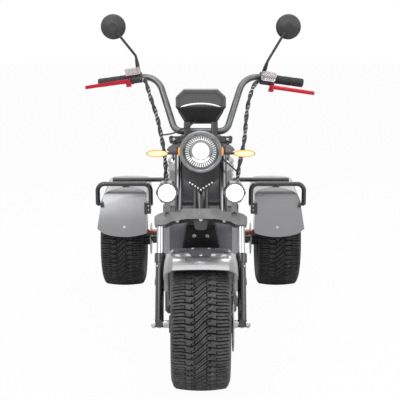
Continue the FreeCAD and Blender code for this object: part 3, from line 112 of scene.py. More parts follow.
# Rows of points in each pitch of the tread
PITCH_STEPS = 14

# Distance from the frame's origin at which the lines start that find a node's skin
FAR = 2.0

# Radius and height of the bolt heads
LARGE_HEAD = (0.0078, 0.006)
MIDDLE_HEAD = (0.006, 0.005)
SMALL_HEAD = (0.0045, 0.004)
HOOP_HEAD = (0.004, 0.003)
DISC_HEAD = (0.0042, 0.0028)
YOKE_NUT = (0.006, 0.006)
FENDER_NUT = (0.005, 0.004)

BLACK = (0.02, 0.02, 0.021)


def length_setting(name, description, default):
    return FloatProperty(name=name, description=description, default=default, unit="LENGTH")


def level_setting(name, description, default):
    return FloatProperty(name=name, description=description, default=default, min=0.0)


def colour_setting(name, description, default):
    return FloatVectorProperty(name=name, description=description, default=default, size=3, subtype="COLOR")


class TyreLooks(bpy.types.PropertyGroup):
    pitches: IntProperty(name="Pitches", description="Tread pitches around the tyre", default=60, min=8)
    depth: length_setting("Tread depth", "Depth of the main grooves", 0.0075)
    groove: length_setting("Groove width", "Width of the main grooves", 0.0042)
    rubber: colour_setting("Rubber", "Colour of the front tread blocks", (0.066, 0.067, 0.068))


class PaintLooks(bpy.types.PropertyGroup):
    graphite: colour_setting("Graphite", "Colour of the mudguards and covers", (0.27, 0.272, 0.278))
    black: colour_setting("Black", "Colour of the black painted tubes", (0.012, 0.012, 0.013))
    alloy: colour_setting("Cast alloy", "Colour of the lower yoke and front caliper", (0.2, 0.2, 0.203))
    red: colour_setting("Red", "Colour of the levers and caliper stripes", (0.72, 0.015, 0.05))


class LampLooks(bpy.types.PropertyGroup):
    white: level_setting("White lamps", "Strength of the headlight and spot lamps", 6.0)
    amber: level_setting("Amber lamps", "Strength of the turn signals", 0.95)


class CableLooks(bpy.types.PropertyGroup):
    strand: length_setting("Strand radius", "Radius of one strand", 0.0055)
    lay: length_setting("Lay", "Length of one turn of the pair", 0.09)
    braid: length_setting("Braid", "Distance between the braid's marks", 0.014)
    lead: length_setting("Lead radius", "Radius of the thin leads", 0.003)


class SeatLooks(bpy.types.PropertyGroup):
    swell: length_setting("Swell", "Furthest that the cover swells", 0.007)
    seam: length_setting("Seam depth", "Depth of the sewn seams", 0.0025)
    pillion: FloatProperty(
        name="Pillion seam", description="Place of the cross seam along the seat", default=0.6,
        min=0.0, max=1.0, subtype="FACTOR")
    leather: colour_setting("Leather", "Colour of the seat's cover", (0.022, 0.022, 0.023))


class StageLooks(bpy.types.PropertyGroup):
    key: level_setting("Key light", "Power of the large front light", 60.0)
    fill: level_setting("Fill light", "Power of the side and back lights", 30.0)
    top: level_setting("Top light", "Power of the large light overhead", 45.0)
    world: level_setting("World", "Strength of the world on matte surfaces", 0.45)


class Value:
    """One socket of a shader tree. Arithmetic on it adds Math nodes."""

    def __init__(self, shader, socket):
        self.shader = shader
        self.socket = socket

    def math(self, operation, *operands):
        return self.shader.node("Math", {"operation": operation}, dict(enumerate(operands)))

    def __add__(self, other):
        return self.math("ADD", self, other)

    def __radd__(self, other):
        return self.math("ADD", other, self)

    def __sub__(self, other):
        return self.math("SUBTRACT", self, other)

    def __rsub__(self, other):
        return self.math("SUBTRACT", other, self)

    def __mul__(self, other):
        return self.math("MULTIPLY", self, other)

    def __rmul__(self, other):
        return self.math("MULTIPLY", other, self)

    def __truediv__(self, other):
        return self.math("DIVIDE", self, other)

    def __rtruediv__(self, other):
        return self.math("DIVIDE", other, self)

    def __pow__(self, other):
        return self.math("POWER", self, other)

    def larger(self, other):
        return self.math("MAXIMUM", self, other)

    def size(self):
        return self.math("ABSOLUTE", self)

    def sine(self):
        return self.math("SINE", self)

    def clipped(self):
        """The value held between 0 and 1."""
        return self.shader.node("Clamp", {}, {0: self})

    def ramp(self, low, high, out_low=0.0, out_high=1.0):
        """The value run smoothly from one span to another."""
        return self.shader.node("MapRange", {"interpolation_type": "SMOOTHSTEP"},
                                {0: self, 1: low, 2: high, 3: out_low, 4: out_high})


class Shader:
    """Node tree of a material or of the world."""

    def __init__(self, owner):
        owner.use_nodes = True
        self.tree = owner.node_tree

    def put(self, socket, value):
        """Links a socket, or sets it to a number or colour."""
        if isinstance(value, Value):
            self.tree.links.new(value.socket, socket)
        elif isinstance(value, (int, float)):
            socket.default_value = value
        else:
            values = tuple(value)
            socket.default_value = values + (1.0,) * (len(socket.default_value) - len(values))

    def node(self, kind, settings=None, sockets=None, output=0):
        """Adds one node: its settings first, then the values or links of its sockets."""
        node = self.tree.nodes.new("ShaderNode" + kind)
        for name, setting in (settings or {}).items():
            setattr(node, name, setting)
        for key, value in (sockets or {}).items():
            self.put(node.inputs[key], value)
        return Value(self, node.outputs[output])


class Finish(Shader):
    """A material with one Principled surface, and the nodes that vary it."""

    def __init__(self, name, colour, roughness, metallic=0.0, **fixed):
        self.material = bpy.data.materials.new(name)
        super().__init__(self.material)
        self.surface = self.tree.nodes["Principled BSDF"]
        self.vary(Base_Color=colour, Roughness=roughness, Metallic=metallic, **fixed)

    def vary(self, **sockets):
        """Sets sockets of the surface, or feeds varying values into them."""
        for socket, value in sockets.items():
            self.put(self.surface.inputs[socket.replace("_", " ")], value)

    def place(self, stretch):
        """Object coordinates, stretched by a Mapping node."""
        where = self.node("TexCoord", output="Object")
        return self.node("Mapping", {}, {"Vector": where, "Scale": stretch})

    def axes(self):
        """The three Object coordinates as separate values."""
        split = self.node("SeparateXYZ", {}, {0: self.node("TexCoord", output="Object")})
        return [Value(self, output) for output in split.socket.node.outputs]

    def noise(self, scale, detail=2.0, stretch=(1, 1, 1)):
        return self.node("TexNoise", {}, {"Vector": self.place(stretch), "Scale": scale, "Detail": detail})

    def cells(self, scale, output="Distance"):
        return self.node("TexVoronoi", {}, {"Vector": self.place((1, 1, 1)), "Scale": scale}, output)

    def attribute(self, name):
        return self.node("Attribute", {"attribute_name": name}, {}, "Fac")

    def mix(self, factor, first, second):
        """Colour between two colours."""
        return self.node("Mix", {"data_type": "RGBA"}, {0: factor, 6: first, 7: second}, 2)

    def shades(self, factor, colour, first, second):
        """Colour between two shades of one colour."""
        return self.mix(factor, shade(colour, first), shade(colour, second))

    def bump(self, height, distance, strength):
        """Relief from a height of 0 to 1 that stands for a distance in metres."""
        relief = {"Height": height, "Distance": distance, "Strength": strength}
        self.vary(Normal=self.node("Bump", {}, relief, "Normal"))


def shade(colour, share):
    """The colour with each of its channels times a share."""
    return tuple(channel * share for channel in colour)


def node_box(name):
    """Lowest corner, highest corner and middle of a node, as arrays."""
    low, high = (np.array(corner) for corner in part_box(name))
    return low, high, (low + high) / 2


def rubber_finish(name, tone):
    """Tread rubber: mottled tops, groove floors darkened with painted shade, fine pores."""
    finish = Finish(name, tone, 0.62, Specular_IOR_Level=0.42)
    groove = finish.attribute("groove")
    top = finish.shades(finish.noise(34.0, 5.0).ramp(0.35, 0.7), tone, 0.7, 1.45)
    # The groove share darkens the groove floors to 0.06 of the tone: painted shade in the grooves.
    finish.vary(Base_Color=finish.mix(groove, top, shade(tone, 0.06)),
                Roughness=0.52 + 0.22 * finish.noise(120.0, 3.0) + 0.15 * groove)
    finish.bump(finish.noise(900.0, 3.0), 0.0006, 0.5)
    return finish.material


def painted_finish(name, colour, roughness=0.25, flake=0.06):
    """Metallic paint under clear coat, with fine flake and a faint long wave."""
    finish = Finish(name, colour, roughness, 0.85, Coat_Weight=1.0, Coat_Roughness=0.05)
    tone = finish.shades(finish.cells(3200.0, "Color").ramp(0.2, 0.8), colour, 1 - flake, 1 + flake)
    wave = finish.noise(5.0).ramp(0.35, 0.7, 0.0, 0.2)
    finish.vary(Base_Color=finish.mix(wave, tone, shade(colour, 0.7)),
                Roughness=roughness - 0.03 + 0.06 * finish.noise(24.0, 4.0))
    finish.bump(finish.noise(26.0), 0.0002, 0.05)
    return finish.material


def black_paint_finish(name, colour, roughness=0.24):
    """Gloss black stove enamel with orange peel and a few dulled patches."""
    finish = Finish(name, colour, roughness, Coat_Weight=0.8, Coat_Roughness=0.1)
    patches = finish.noise(18.0, 5.0)
    finish.vary(Base_Color=finish.shades(patches.ramp(0.45, 0.75), colour, 1.0, 1.9),
                Roughness=roughness - 0.06 + 0.2 * patches)
    finish.bump(finish.noise(380.0), 0.0004, 0.3)
    return finish.material


def plastic_finish(name, colour, roughness=0.46, grain=520.0):
    """Moulded plastic with a fine pebble grain."""
    finish = Finish(name, colour, roughness)
    fade = finish.noise(9.0, 4.0).ramp(0.35, 0.7)
    finish.vary(Base_Color=finish.shades(fade, colour, 1.0, 1.7),
                Roughness=roughness - 0.08 + 0.2 * finish.noise(60.0, 3.0))
    finish.bump(finish.cells(grain), 0.0005, 0.35)
    return finish.material


def cast_finish(name, colour, roughness=0.36, metallic=0.75):
    """Painted cast alloy: a fine sandy skin and slightly mottled tone."""
    finish = Finish(name, colour, roughness, metallic, Coat_Weight=0.35, Coat_Roughness=0.2)
    mottle = finish.noise(30.0, 5.0)
    finish.vary(Base_Color=finish.shades(mottle.ramp(0.3, 0.75), colour, 0.82, 1.18),
                Roughness=roughness - 0.07 + 0.16 * mottle)
    finish.bump(finish.noise(700.0, 4.0), 0.0005, 0.3)
    return finish.material


def chrome_finish(name, colour=(0.5, 0.505, 0.515), roughness=0.07):
    """Polished plating with very faint draw lines and haze."""
    finish = Finish(name, colour, roughness, 1.0)
    haze = finish.noise(26.0, 5.0)
    lines = finish.noise(420.0, stretch=(1.0, 1.0, 0.02))
    finish.vary(Base_Color=finish.shades(haze.ramp(0.35, 0.8), colour, 1.0, 0.86),
                Roughness=roughness + 0.09 * haze * lines)
    finish.bump(lines, 0.0001, 0.15)
    return finish.material


def steel_finish(name, colour=(0.5, 0.5, 0.51), roughness=0.3):
    """Ground steel with turning marks about the wheel axis and changes of tone."""
    finish = Finish(name, colour, roughness, 1.0)
    marks = finish.noise(900.0, stretch=(1.0, 0.3, 0.3))
    finish.vary(Base_Color=finish.shades(finish.noise(40.0, 4.0).ramp(0.3, 0.7), colour, 0.75, 1.15),
                Roughness=roughness - 0.08 + 0.22 * marks)
    finish.bump(marks, 0.0002, 0.3)
    return finish.material


def anodised_finish(name, colour):
    """Bright anodised alloy with a satin draw grain."""
    finish = Finish(name, colour, 0.28, 0.65, Coat_Weight=0.3, Coat_Roughness=0.15)
    grain = finish.noise(300.0, 3.0, (0.05, 1.0, 1.0))
    finish.vary(Base_Color=finish.shades(grain.ramp(0.3, 0.8), colour, 0.75, 1.0),
                Roughness=0.2 + 0.2 * grain)
    finish.bump(grain, 0.0002, 0.25)
    return finish.material


def caliper_finish(red):
    """Black caliper with a red stripe along its upper edge."""
    top = float(node_box("rear_calipers")[1][2])
    finish = Finish("caliper_enamel", BLACK, 0.3, Coat_Weight=0.5, Coat_Roughness=0.15)
    stripe = finish.axes()[2].ramp(top - 0.0085, top - 0.0075)
    finish.vary(Base_Color=finish.mix(stripe, BLACK, red), Roughness=0.26 + 0.12 * finish.noise(60.0, 3.0))
    finish.bump(finish.noise(500.0), 0.0003, 0.25)
    return finish.material


def leather_finish(tone):
    """Leatherette: wrinkled cells, lighter high spots and dark sewn seams."""
    finish = Finish("seat_leatherette", tone, 0.48, Specular_IOR_Level=0.45)
    cells = finish.cells(420.0)
    folds = finish.noise(70.0, 5.0)
    cover = finish.shades(folds.ramp(0.35, 0.75), tone, 0.7, 1.6)
    finish.vary(Base_Color=finish.mix(finish.attribute("seam"), cover, shade(tone, 0.35)),
                Roughness=0.4 + 0.22 * cells)
    finish.bump(cells * 0.7 + folds * 0.3, 0.0009, 0.55)
    return finish.material


def cable_finish():
    """Black braid and plastic: one strand of the pair carries light flecks."""
    finish = Finish("cable_wrap", BLACK, 0.42)
    finish.vary(Base_Color=finish.mix(finish.attribute("strand"), BLACK, (0.5, 0.5, 0.51)),
                Roughness=0.34 + 0.2 * finish.noise(90.0, 3.0))
    finish.bump(finish.noise(1100.0), 0.0004, 0.3)
    return finish.material


def reflector_finish(strength):
    """Headlight dish with its lamp on: white at the projector and in a crescent below it, bright
    flutes about both and a dim gap outside them. The flutes are drawn only in colour: their faint
    glow is painted light of the lamp on the dish, and their bright stripes on the darker dish are a
    painted reflection. The distance from the lamp's line is sqrt(x^2 + z^2), and the flutes follow
    sin(n a) of the angle a about that line."""
    middle_x, _, middle_z = (float(place) for place in node_box("headlight_reflector")[2])
    finish = Finish("reflector_plating", (0.5, 0.51, 0.52), 0.08, 1.0, Emission_Strength=strength)
    x, _, z = finish.axes()
    across, up = x - middle_x, z - middle_z
    far = (across * across + up * up) ** 0.5
    angle = finish.node("Math", {"operation": "ARCTAN2"}, {0: across, 1: up})
    ribs = (angle * float(FLUTES)).sine().ramp(-0.35, 0.25)
    ring = far.ramp(0.042, 0.044) * far.ramp(0.055, 0.058, 1.0, 0.0)
    core = far.ramp(0.024, 0.032, 1.0, 0.0)
    crescent = far.ramp(0.034, 0.0355) * far.ramp(0.0405, 0.042, 1.0, 0.0) * up.ramp(-0.03, -0.018, 1.0, 0.0)
    # The flutes' faint glow here is painted light, and their bright stripes in the base colour below are a painted
    # reflection.
    level = core + crescent * 0.3 + ring * ribs * 0.09
    finish.vary(Emission_Color=finish.mix(level.clipped(), (0.0, 0.0, 0.0), (1.0, 1.0, 1.0)),
                Base_Color=finish.mix(ring * ribs, (0.1, 0.101, 0.103), (0.5, 0.505, 0.51)),
                Roughness=0.05 + 0.1 * finish.noise(80.0))
    return finish.material


def dial_finish():
    """Moulded housing: satin grey above the strip, deep gloss black on the bowl below it."""
    finish = Finish("dial_plastic", (0.12, 0.12, 0.123), 0.3)
    bowl = finish.axes()[2].ramp(1.0, 1.012, 1.0, 0.0)
    finish.vary(Base_Color=finish.mix(bowl, (0.12, 0.12, 0.123), (0.008, 0.008, 0.009)),
                Roughness=0.36 - 0.2 * bowl + 0.06 * finish.noise(60.0, 3.0))
    finish.bump(finish.noise(900.0), 0.0003, 0.25)
    return finish.material


def clear_finish(name, colour, roughness, spread=0.03, scale=60.0, **fixed):
    """Clear or tinted smooth skin, with a slightly uneven polish."""
    finish = Finish(name, colour, roughness, **fixed)
    finish.vary(Roughness=roughness + spread * finish.noise(scale, 3.0))
    return finish.material


def lit_finish(name, colour, strength):
    """Lens with its lamp on, a little uneven behind the moulding."""
    finish = Finish(name, colour, 0.25, Emission_Strength=strength, Coat_Weight=0.6)
    spread = finish.noise(70.0)
    glow = finish.shades(spread.ramp(0.3, 0.7), colour, 0.85, 1.0)
    finish.vary(Base_Color=glow, Emission_Color=glow)
    finish.bump(spread, 0.0005, 0.2)
    return finish.material


def amber_finish(strength):
    """Lit amber lens: pale at the bulb in the middle, deep orange at the rim."""
    low, high, centre = node_box("turn_signal_lenses")
    finish = Finish("amber_lens", (1.0, 0.45, 0.05), 0.2, Emission_Strength=strength, Coat_Weight=0.6)
    x, _, z = finish.axes()
    along = (x.size() - float(AMBER_INNER + high[0]) / 2) / (float(high[0] - AMBER_INNER) / 2)
    across = (z - float(centre[2])) / (float(high[2] - low[2]) / 2)
    far = along * along * 0.7 + across * across
    glow = finish.mix(far.ramp(0.05, 0.85), (1.0, 0.86, 0.42), (0.9, 0.3, 0.01))
    finish.vary(Base_Color=glow, Emission_Color=glow)
    finish.bump((x * 1900.0).sine() * 0.5 + 0.5, 0.0004, 0.3)
    return finish.material


def make_finishes(scene):
    """All materials of the chopper by the record's slot, and those of single nodes and pieces."""
    paint, lamps = scene.chopper_paint, scene.chopper_lamps
    red = tuple(paint.red)
    rubber = tuple(scene.chopper_tyres.rubber)
    glass = {"Transmission_Weight": 1.0, "IOR": 1.45}
    pot = {"Transmission_Weight": 0.55, "IOR": 1.45}
    return {
        "black_casting": cast_finish("clamp_casting", (0.045, 0.045, 0.047), 0.3, 0.6),
        "dark_chrome": chrome_finish("upright_plating", (0.17, 0.172, 0.176), 0.16),
        "bar_satin": cast_finish("bar_plating", (0.13, 0.132, 0.135), 0.34, 0.85),
        "bright_trim": chrome_finish("trim_plating", (0.9, 0.9, 0.91), 0.12),
        "dial_plastic": dial_finish(),
        "striped_enamel": caliper_finish(red),
        "tyre": rubber_finish("front_rubber", rubber),
        # Rear tyres: the same rubber at 0.55 of its tone, as painted shade.
        "shaded_rear_rubber": rubber_finish("shaded_rear_rubber", shade(rubber, 0.55)),
        "cast_wheel": cast_finish("wheel_casting", (0.06, 0.06, 0.063), 0.38, 0.6),
        "disc_steel": steel_finish("disc_steel"),
        "black_frame": black_paint_finish("black_enamel", tuple(paint.black)),
        "graphite_gloss": painted_finish("graphite_paint", tuple(paint.graphite)),
        "dark_plastic": plastic_finish("black_plastic", (0.03, 0.03, 0.032)),
        "seat_leather": leather_finish(tuple(scene.chopper_seat.leather)),
        "chrome": chrome_finish("chrome"),
        "cast_dark": cast_finish("yoke_casting", tuple(paint.alloy)),
        "grip_rubber": plastic_finish("grip_rubber", BLACK, 0.6, 700.0),
        "red_anodised": anodised_finish("red_anodised", red),
        "bright_nut": steel_finish("zinc_plating", (0.6, 0.6, 0.61), 0.24),
        "mirror_glass": clear_finish("mirror_glass", (0.86, 0.88, 0.9), 0.015, 0.02, 20.0, metallic=1.0),
        "clear_glass": clear_finish("lens_glass", (1.0, 1.0, 1.0), 0.03, **glass),
        "reflector": reflector_finish(lamps.white),
        "amber_lens": amber_finish(lamps.amber),
        "lit_lens": lit_finish("lit_lens", (1.0, 1.0, 0.98), lamps.white),
        "silver_rim": cast_finish("silver_paint", (0.27, 0.275, 0.28), 0.28, 0.8),
        "display": clear_finish("display_glass", (0.012, 0.013, 0.016), 0.06, 0.08, 30.0,
                                Coat_Weight=1.0, Coat_Roughness=0.02),
        "red_lens": clear_finish("red_lens", (0.75, 0.02, 0.02), 0.08, **glass),
        "fluid_clear": clear_finish("fluid_pot", (0.78, 0.72, 0.73), 0.1, 0.08, 50.0, **pot),
        "cable_black": cable_finish(),
    }


FINISHES = {}

# Nodes whose finish differs from the others of their slot
NODE_FINISHES = {
    "upper_yoke": "black_casting",
    "fork_uprights": "dark_chrome",
    "handlebar": "bar_satin",
    "instrument_housing": "dial_plastic",
    "rear_calipers": "striped_enamel",
}


def grid_faces(rows, columns, wrap_rows=False, wrap_columns=False):
    """Corner numbers of the squares between neighbours of a grid of points."""
    i = np.arange(rows if wrap_rows else rows - 1)
    j = np.arange(columns if wrap_columns else columns - 1)
    i, j = np.meshgrid(i, j, indexing="ij")
    i2 = (i + 1) % rows
    j2 = (j + 1) % columns
    corners = (i * columns + j, i * columns + j2, i2 * columns + j2, i2 * columns + j)
    return np.stack(corners, axis=-1).reshape(-1, 4)


def capped(points):
    """Points and faces of a skin made of closed rings, with its first and last ring filled."""
    rows, count = points.shape[:2]
    last = (rows - 1) * count
    faces = grid_faces(rows, count, wrap_columns=True).tolist()
    return points.reshape(-1, 3), faces + [list(range(count)), list(range(last, last + count))]


def joined(forms):
    """Points and faces of several forms as one."""
    points, faces, start = [], [], 0
    for form_points, form_faces in forms:
        points.append(form_points)
        faces += [[corner + start for corner in face] for face in form_faces]
        start += len(form_points)
    return np.concatenate(points), faces


def linked(name, data):
    """Object at the origin that holds some data, in the scene."""
    item = bpy.data.objects.new(name, data)
    bpy.context.scene.collection.objects.link(item)
    return item


def make_piece(name, points, faces, finish, smooth=40.0):
    """Object with a mesh from arrays of points and faces, and with its finish."""
    mesh = bpy.data.meshes.new(name)
    mesh.from_pydata(points.reshape(-1, 3), [], faces)
    mesh.validate()
    mesh.shade_smooth()
    mesh.set_sharp_from_angle(angle=math.radians(smooth))
    mesh.materials.append(finish)
    return linked(name, mesh)


def outwards(piece):
    """Turns the faces of closed shells outwards."""
    mesh = bmesh.new()
    mesh.from_mesh(piece.data)
    bmesh.ops.recalc_face_normals(mesh, faces=mesh.faces[:])
    mesh.to_mesh(piece.data)
    mesh.free()


def seated(piece, body, replaced=()):
    """Gives a piece the body it rides on, and hides the nodes that it stands for."""
    if replaced:
        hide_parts(*replaced)
    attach(piece, body)
    return piece


def add_piece(name, form, slot, body, smooth=40.0, replaced=(), finish=None):
    """Piece from points and faces, with its slot's finish or one of its own."""
    piece = make_piece(name, *form, FINISHES[finish or slot], smooth)
    outwards(piece)
    return seated(piece, body, replaced)


def set_attribute(piece, name, values):
    """One number for each point of the mesh, for its material to read."""
    layer = piece.data.attributes.new(name, "FLOAT", "POINT")
    layer.data.foreach_set("value", values.ravel().astype(np.float32))


def smoothstep(values, low, high):
    """3 t^2 - 2 t^3 of the share t of the way from low to high, held between 0 and 1."""
    share = np.clip((values - low) / (high - low), 0.0, 1.0)
    return share * share * (3 - 2 * share)


def band(distance, half, edge=0.0009):
    """1 within half a width of a line and 0 outside it, with a smooth edge on either side."""
    return 1 - smoothstep(distance, half - edge, half + edge)


def full_turn(count):
    """Angles of evenly spaced places around a circle."""
    return np.arange(count) * 2 * math.pi / count


def unit(vector):
    return vector / np.linalg.norm(vector)


def square_to(axis):
    """Two directions square to an axis and to each other."""
    helper = X_AXIS if abs(axis[0]) < 0.8 else Z_AXIS
    first = unit(np.cross(axis, helper))
    return first, np.cross(axis, first)


TREES = {}


def surface(node, start, direction):
    """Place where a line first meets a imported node, and the skin's own direction there."""
    if node not in TREES:
        mesh = frame["nodes"][node].data
        TREES[node] = BVHTree.FromPolygons([point.co for point in mesh.vertices],
                                           [face.vertices for face in mesh.polygons])
    place, normal = TREES[node].ray_cast(Vector(start), Vector(direction))[:2]
    if place is None:
        raise ValueError(f"no skin of {node} on the line from {start}")
    return np.array(place), np.array(normal)


def arc_through(start, middle, end, count):
    """Points on the circle through three flat points: centre from the two chords' bisectors,
    then equal steps of angle from start to end by way of the middle."""
    (ax, ay), (bx, by), (cx, cy) = start, middle, end
    d = 2 * (ax * (by - cy) + bx * (cy - ay) + cx * (ay - by))
    a2, b2, c2 = ax * ax + ay * ay, bx * bx + by * by, cx * cx + cy * cy
    ox = (a2 * (by - cy) + b2 * (cy - ay) + c2 * (ay - by)) / d
    oy = (a2 * (cx - bx) + b2 * (ax - cx) + c2 * (bx - ax)) / d
    radius = math.hypot(ax - ox, ay - oy)
    angles = np.unwrap(np.arctan2(np.array((ay, by, cy)) - oy, np.array((ax, bx, cx)) - ox))
    turn = np.linspace(angles[0], angles[2], count)
    return np.stack((ox + radius * np.cos(turn), oy + radius * np.sin(turn)), axis=1)


def tyre_section(half, radius):
    """Outer line of the tyre from bead to bead as flat points (across, radius): an arc over the
    crown, and two on each side wall that meet at its widest place."""
    bead = (BEAD_HALF, BEAD_RADIUS)
    widest = (half, (BEAD_RADIUS + radius) / 2)
    shoulder = (half - 0.016, radius - 0.008)
    lower = ((BEAD_HALF + half) / 2 + 0.004, (BEAD_RADIUS + widest[1]) / 2)
    upper = ((half + shoulder[0]) / 2 + 0.005, (widest[1] + shoulder[1]) / 2)
    right = np.concatenate((arc_through(shoulder, upper, widest, 10)[1:],
                            arc_through(widest, lower, bead, 7)[1:]))
    crown = arc_through((-shoulder[0], shoulder[1]), (0.0, radius), shoulder, 66)
    return np.concatenate((right[::-1] * (-1, 1), crown, right))


def tread_depth(across, phase, width, pitch):
    """Share of groove from 0 to 1 at each point of the tread.

    Across is the distance from the crown's middle along the surface, and the phase counts pitches
    around the tyre. Two stepped grooves run around the tyre, wavy grooves cross all three bands,
    and short hooked cuts split each outer block. Each groove is a band of the distance to its line.
    """
    def from_line(count):
        return np.abs(count % 1.0 - 0.5) * pitch

    main, fine = width / 2, 0.35 * width
    hook_start, hook_end, tread_end = 0.054, 0.1, 0.106
    side = np.abs(across)
    step = np.tanh(6.0 * np.sin(2 * math.pi * phase))
    ring_line = 0.0265 + 0.0055 * step * np.sign(across)
    rings = band(np.abs(side - ring_line), main)

    wave = 0.42 * np.sin(across * 28.0) + 0.16 * np.sin(across * 75.0)
    count = phase + wave + np.where(side < ring_line, 0.5 + 17.0 * across, 0.0)
    crossing = band(from_line(count), main) * (1 - smoothstep(side, tread_end - 0.007, tread_end))
    hook = band(from_line(count + 0.5), fine) * smoothstep(side, hook_start - 0.002, hook_start)
    hook *= 1 - smoothstep(side, hook_end - 0.006, hook_end)
    share = count % 1.0
    jog = band(np.abs(side - hook_start), fine) * smoothstep(share, 0.0, 0.04)
    jog *= 1 - smoothstep(share, 0.3, 0.34)
    slit = band(from_line(count * 2.0 + 0.5) / 2, 0.0009, 0.0005) * (1 - smoothstep(side, 0.016, 0.02))
    return np.maximum.reduce((rings, crossing, 0.75 * hook, 0.75 * jog, 0.45 * slit))


def make_tyre(name, node, body, finish, looks):
    """Ring of the section around the wheel's axis. A point moves inwards along the section's
    normal by the tread's depth where a groove passes, and the side walls carry three thin beads."""
    low, high, centre = node_box(node)
    radius = (high[2] - low[2]) / 2
    section = tyre_section((high[0] - low[0]) / 2, radius)
    tangent = np.gradient(section, axis=0)
    tangent /= np.linalg.norm(tangent, axis=1, keepdims=True)
    normal = np.stack((-tangent[:, 1], tangent[:, 0]), axis=1)
    along = np.concatenate(([0.0], np.cumsum(np.linalg.norm(np.diff(section, axis=0), axis=1))))
    rows, columns = looks.pitches * PITCH_STEPS, len(section)
    turn = full_turn(rows)[:, None]
    across = np.broadcast_to(along - along[-1] / 2, (rows, columns))
    phase = turn * looks.pitches / (2 * math.pi)
    groove = tread_depth(across, phase, looks.groove, 2 * math.pi * radius / looks.pitches)
    bead_lines = BEAD_RADIUS + np.array((0.012, 0.026, 0.052))[:, None]
    beads = band(np.abs(section[:, 1] - bead_lines), 0.0014, 0.0008).max(axis=0)
    on_wall = (np.abs(section[:, 0]) > BEAD_HALF) & (section[:, 1] < radius - 0.02)
    inwards = groove * looks.depth + np.where(on_wall, 0.0008 - 0.0007 * beads, 0.0)
    flat = section - normal * inwards[..., None]
    points = np.stack((centre[0] + flat[..., 0], centre[1] + flat[..., 1] * np.cos(turn),
                       centre[2] + flat[..., 1] * np.sin(turn)), axis=-1)
    faces = grid_faces(rows, columns, wrap_rows=True, wrap_columns=True)
    piece = add_piece(name, (points, faces), "tyre", body, 35.0, (node,), finish)
    set_attribute(piece, "groove", groove)
    return piece


def turned(place, axis, profile, count=24):
    """Closed form turned about an axis.

    Each row of the profile is (radius, height, flats): a ring of that radius at that height. It is
    round at flats 0. At flats 1 it is six-sided, with radius r cos(30) / cos(a), where a is the
    angle from the middle of the nearest side.
    """
    axis = unit(np.asarray(axis, float))
    first, second = square_to(axis)
    profile = np.asarray(profile, float)
    turn = full_turn(count)
    from_side = (turn + math.pi / 6) % (math.pi / 3) - math.pi / 6
    sides = math.cos(math.pi / 6) / np.cos(from_side)
    radius = profile[:, 0, None] * np.where(profile[:, 2, None] > 0, sides, 1.0)
    return capped(np.asarray(place) + profile[:, 1, None, None] * axis
                  + (radius * np.cos(turn))[..., None] * first + (radius * np.sin(turn))[..., None] * second)


def button_head(radius, height):
    """Rows of a rounded head with a six-sided socket."""
    return [(radius, -0.001, 0), (radius, 0.35 * height, 0), (0.88 * radius, 0.78 * height, 0),
            (0.62 * radius, height, 0), (0.5 * radius, height, 1), (0.48 * radius, 0.5 * height, 1)]


def hexagon_head(radius, height):
    """Rows of a six-sided head on its washer."""
    return [(1.3 * radius, -0.001, 0), (1.3 * radius, 0.2 * height, 0), (radius, 0.21 * height, 1),
            (radius, 0.9 * height, 1), (0.84 * radius, height, 0), (0.3 * radius, height, 0)]


def rounded_path(corners, step=0.002):
    """Even places along a line of arcs b(t) = (1-t)^2 p + 2t(1-t) c + t^2 q, one at each inner
    corner c, between the middles p and q of the straight runs beside it."""
    corners = np.asarray(corners, float)
    middles = (corners[1:] + corners[:-1]) / 2
    middles[0], middles[-1] = corners[0], corners[-1]
    t = np.linspace(0.0, 1.0, 40)[:, None]
    arcs = [(1 - t) ** 2 * p + 2 * t * (1 - t) * c + t ** 2 * q
            for p, c, q in zip(middles, corners[1:-1], middles[1:])]
    line = np.concatenate([arcs[0]] + [arc[1:] for arc in arcs[1:]])
    reach = np.concatenate(([0.0], np.cumsum(np.linalg.norm(np.diff(line, axis=0), axis=1))))
    places = np.linspace(0.0, reach[-1], max(int(reach[-1] / step), 8))
    return np.stack([np.interp(places, reach, line[:, k]) for k in range(3)], axis=1), places


def swept(path, outline):
    """Skin drawn along a path. At each place the outline's flat points are set square to the path,
    in a frame that is carried along without twist, and flat ends close it."""
    way = np.gradient(path, axis=0)
    way /= np.linalg.norm(way, axis=1, keepdims=True)
    first = square_to(way[0])[0]
    sides = []
    for direction in way:
        first = unit(first - direction * first.dot(direction))
        sides.append((first, np.cross(direction, first)))
    sides = np.array(sides)
    outline = np.broadcast_to(outline, (len(path),) + outline.shape[-2:])
    return capped(path[:, None] + outline[..., :1] * sides[:, None, 0] + outline[..., 1:] * sides[:, None, 1])


def ring_outline(radius, count=16):
    """Flat points of a circle."""
    turn = full_turn(count)
    return np.stack((radius * np.cos(turn), radius * np.sin(turn)), axis=1)


def rounded_form(place, half, axes=(X_AXIS, Y_AXIS, Z_AXIS), power=3.0, rings=12, count=28):
    """Closed rounded block |u/a|^p + |v/b|^p + |w/c|^p = 1, with its own directions u, v and w."""
    polar = np.linspace(0.12, math.pi - 0.12, rings)[:, None]
    turn = full_turn(count)[None]
    ways = np.stack((np.sin(polar) * np.cos(turn), np.sin(polar) * np.sin(turn),
                     np.cos(polar) * np.ones_like(turn)), axis=-1)
    reach = (np.abs(ways) ** power).sum(axis=-1, keepdims=True) ** (-1 / power)
    return capped(np.asarray(place) + (ways * reach * np.asarray(half)) @ np.asarray(axes))


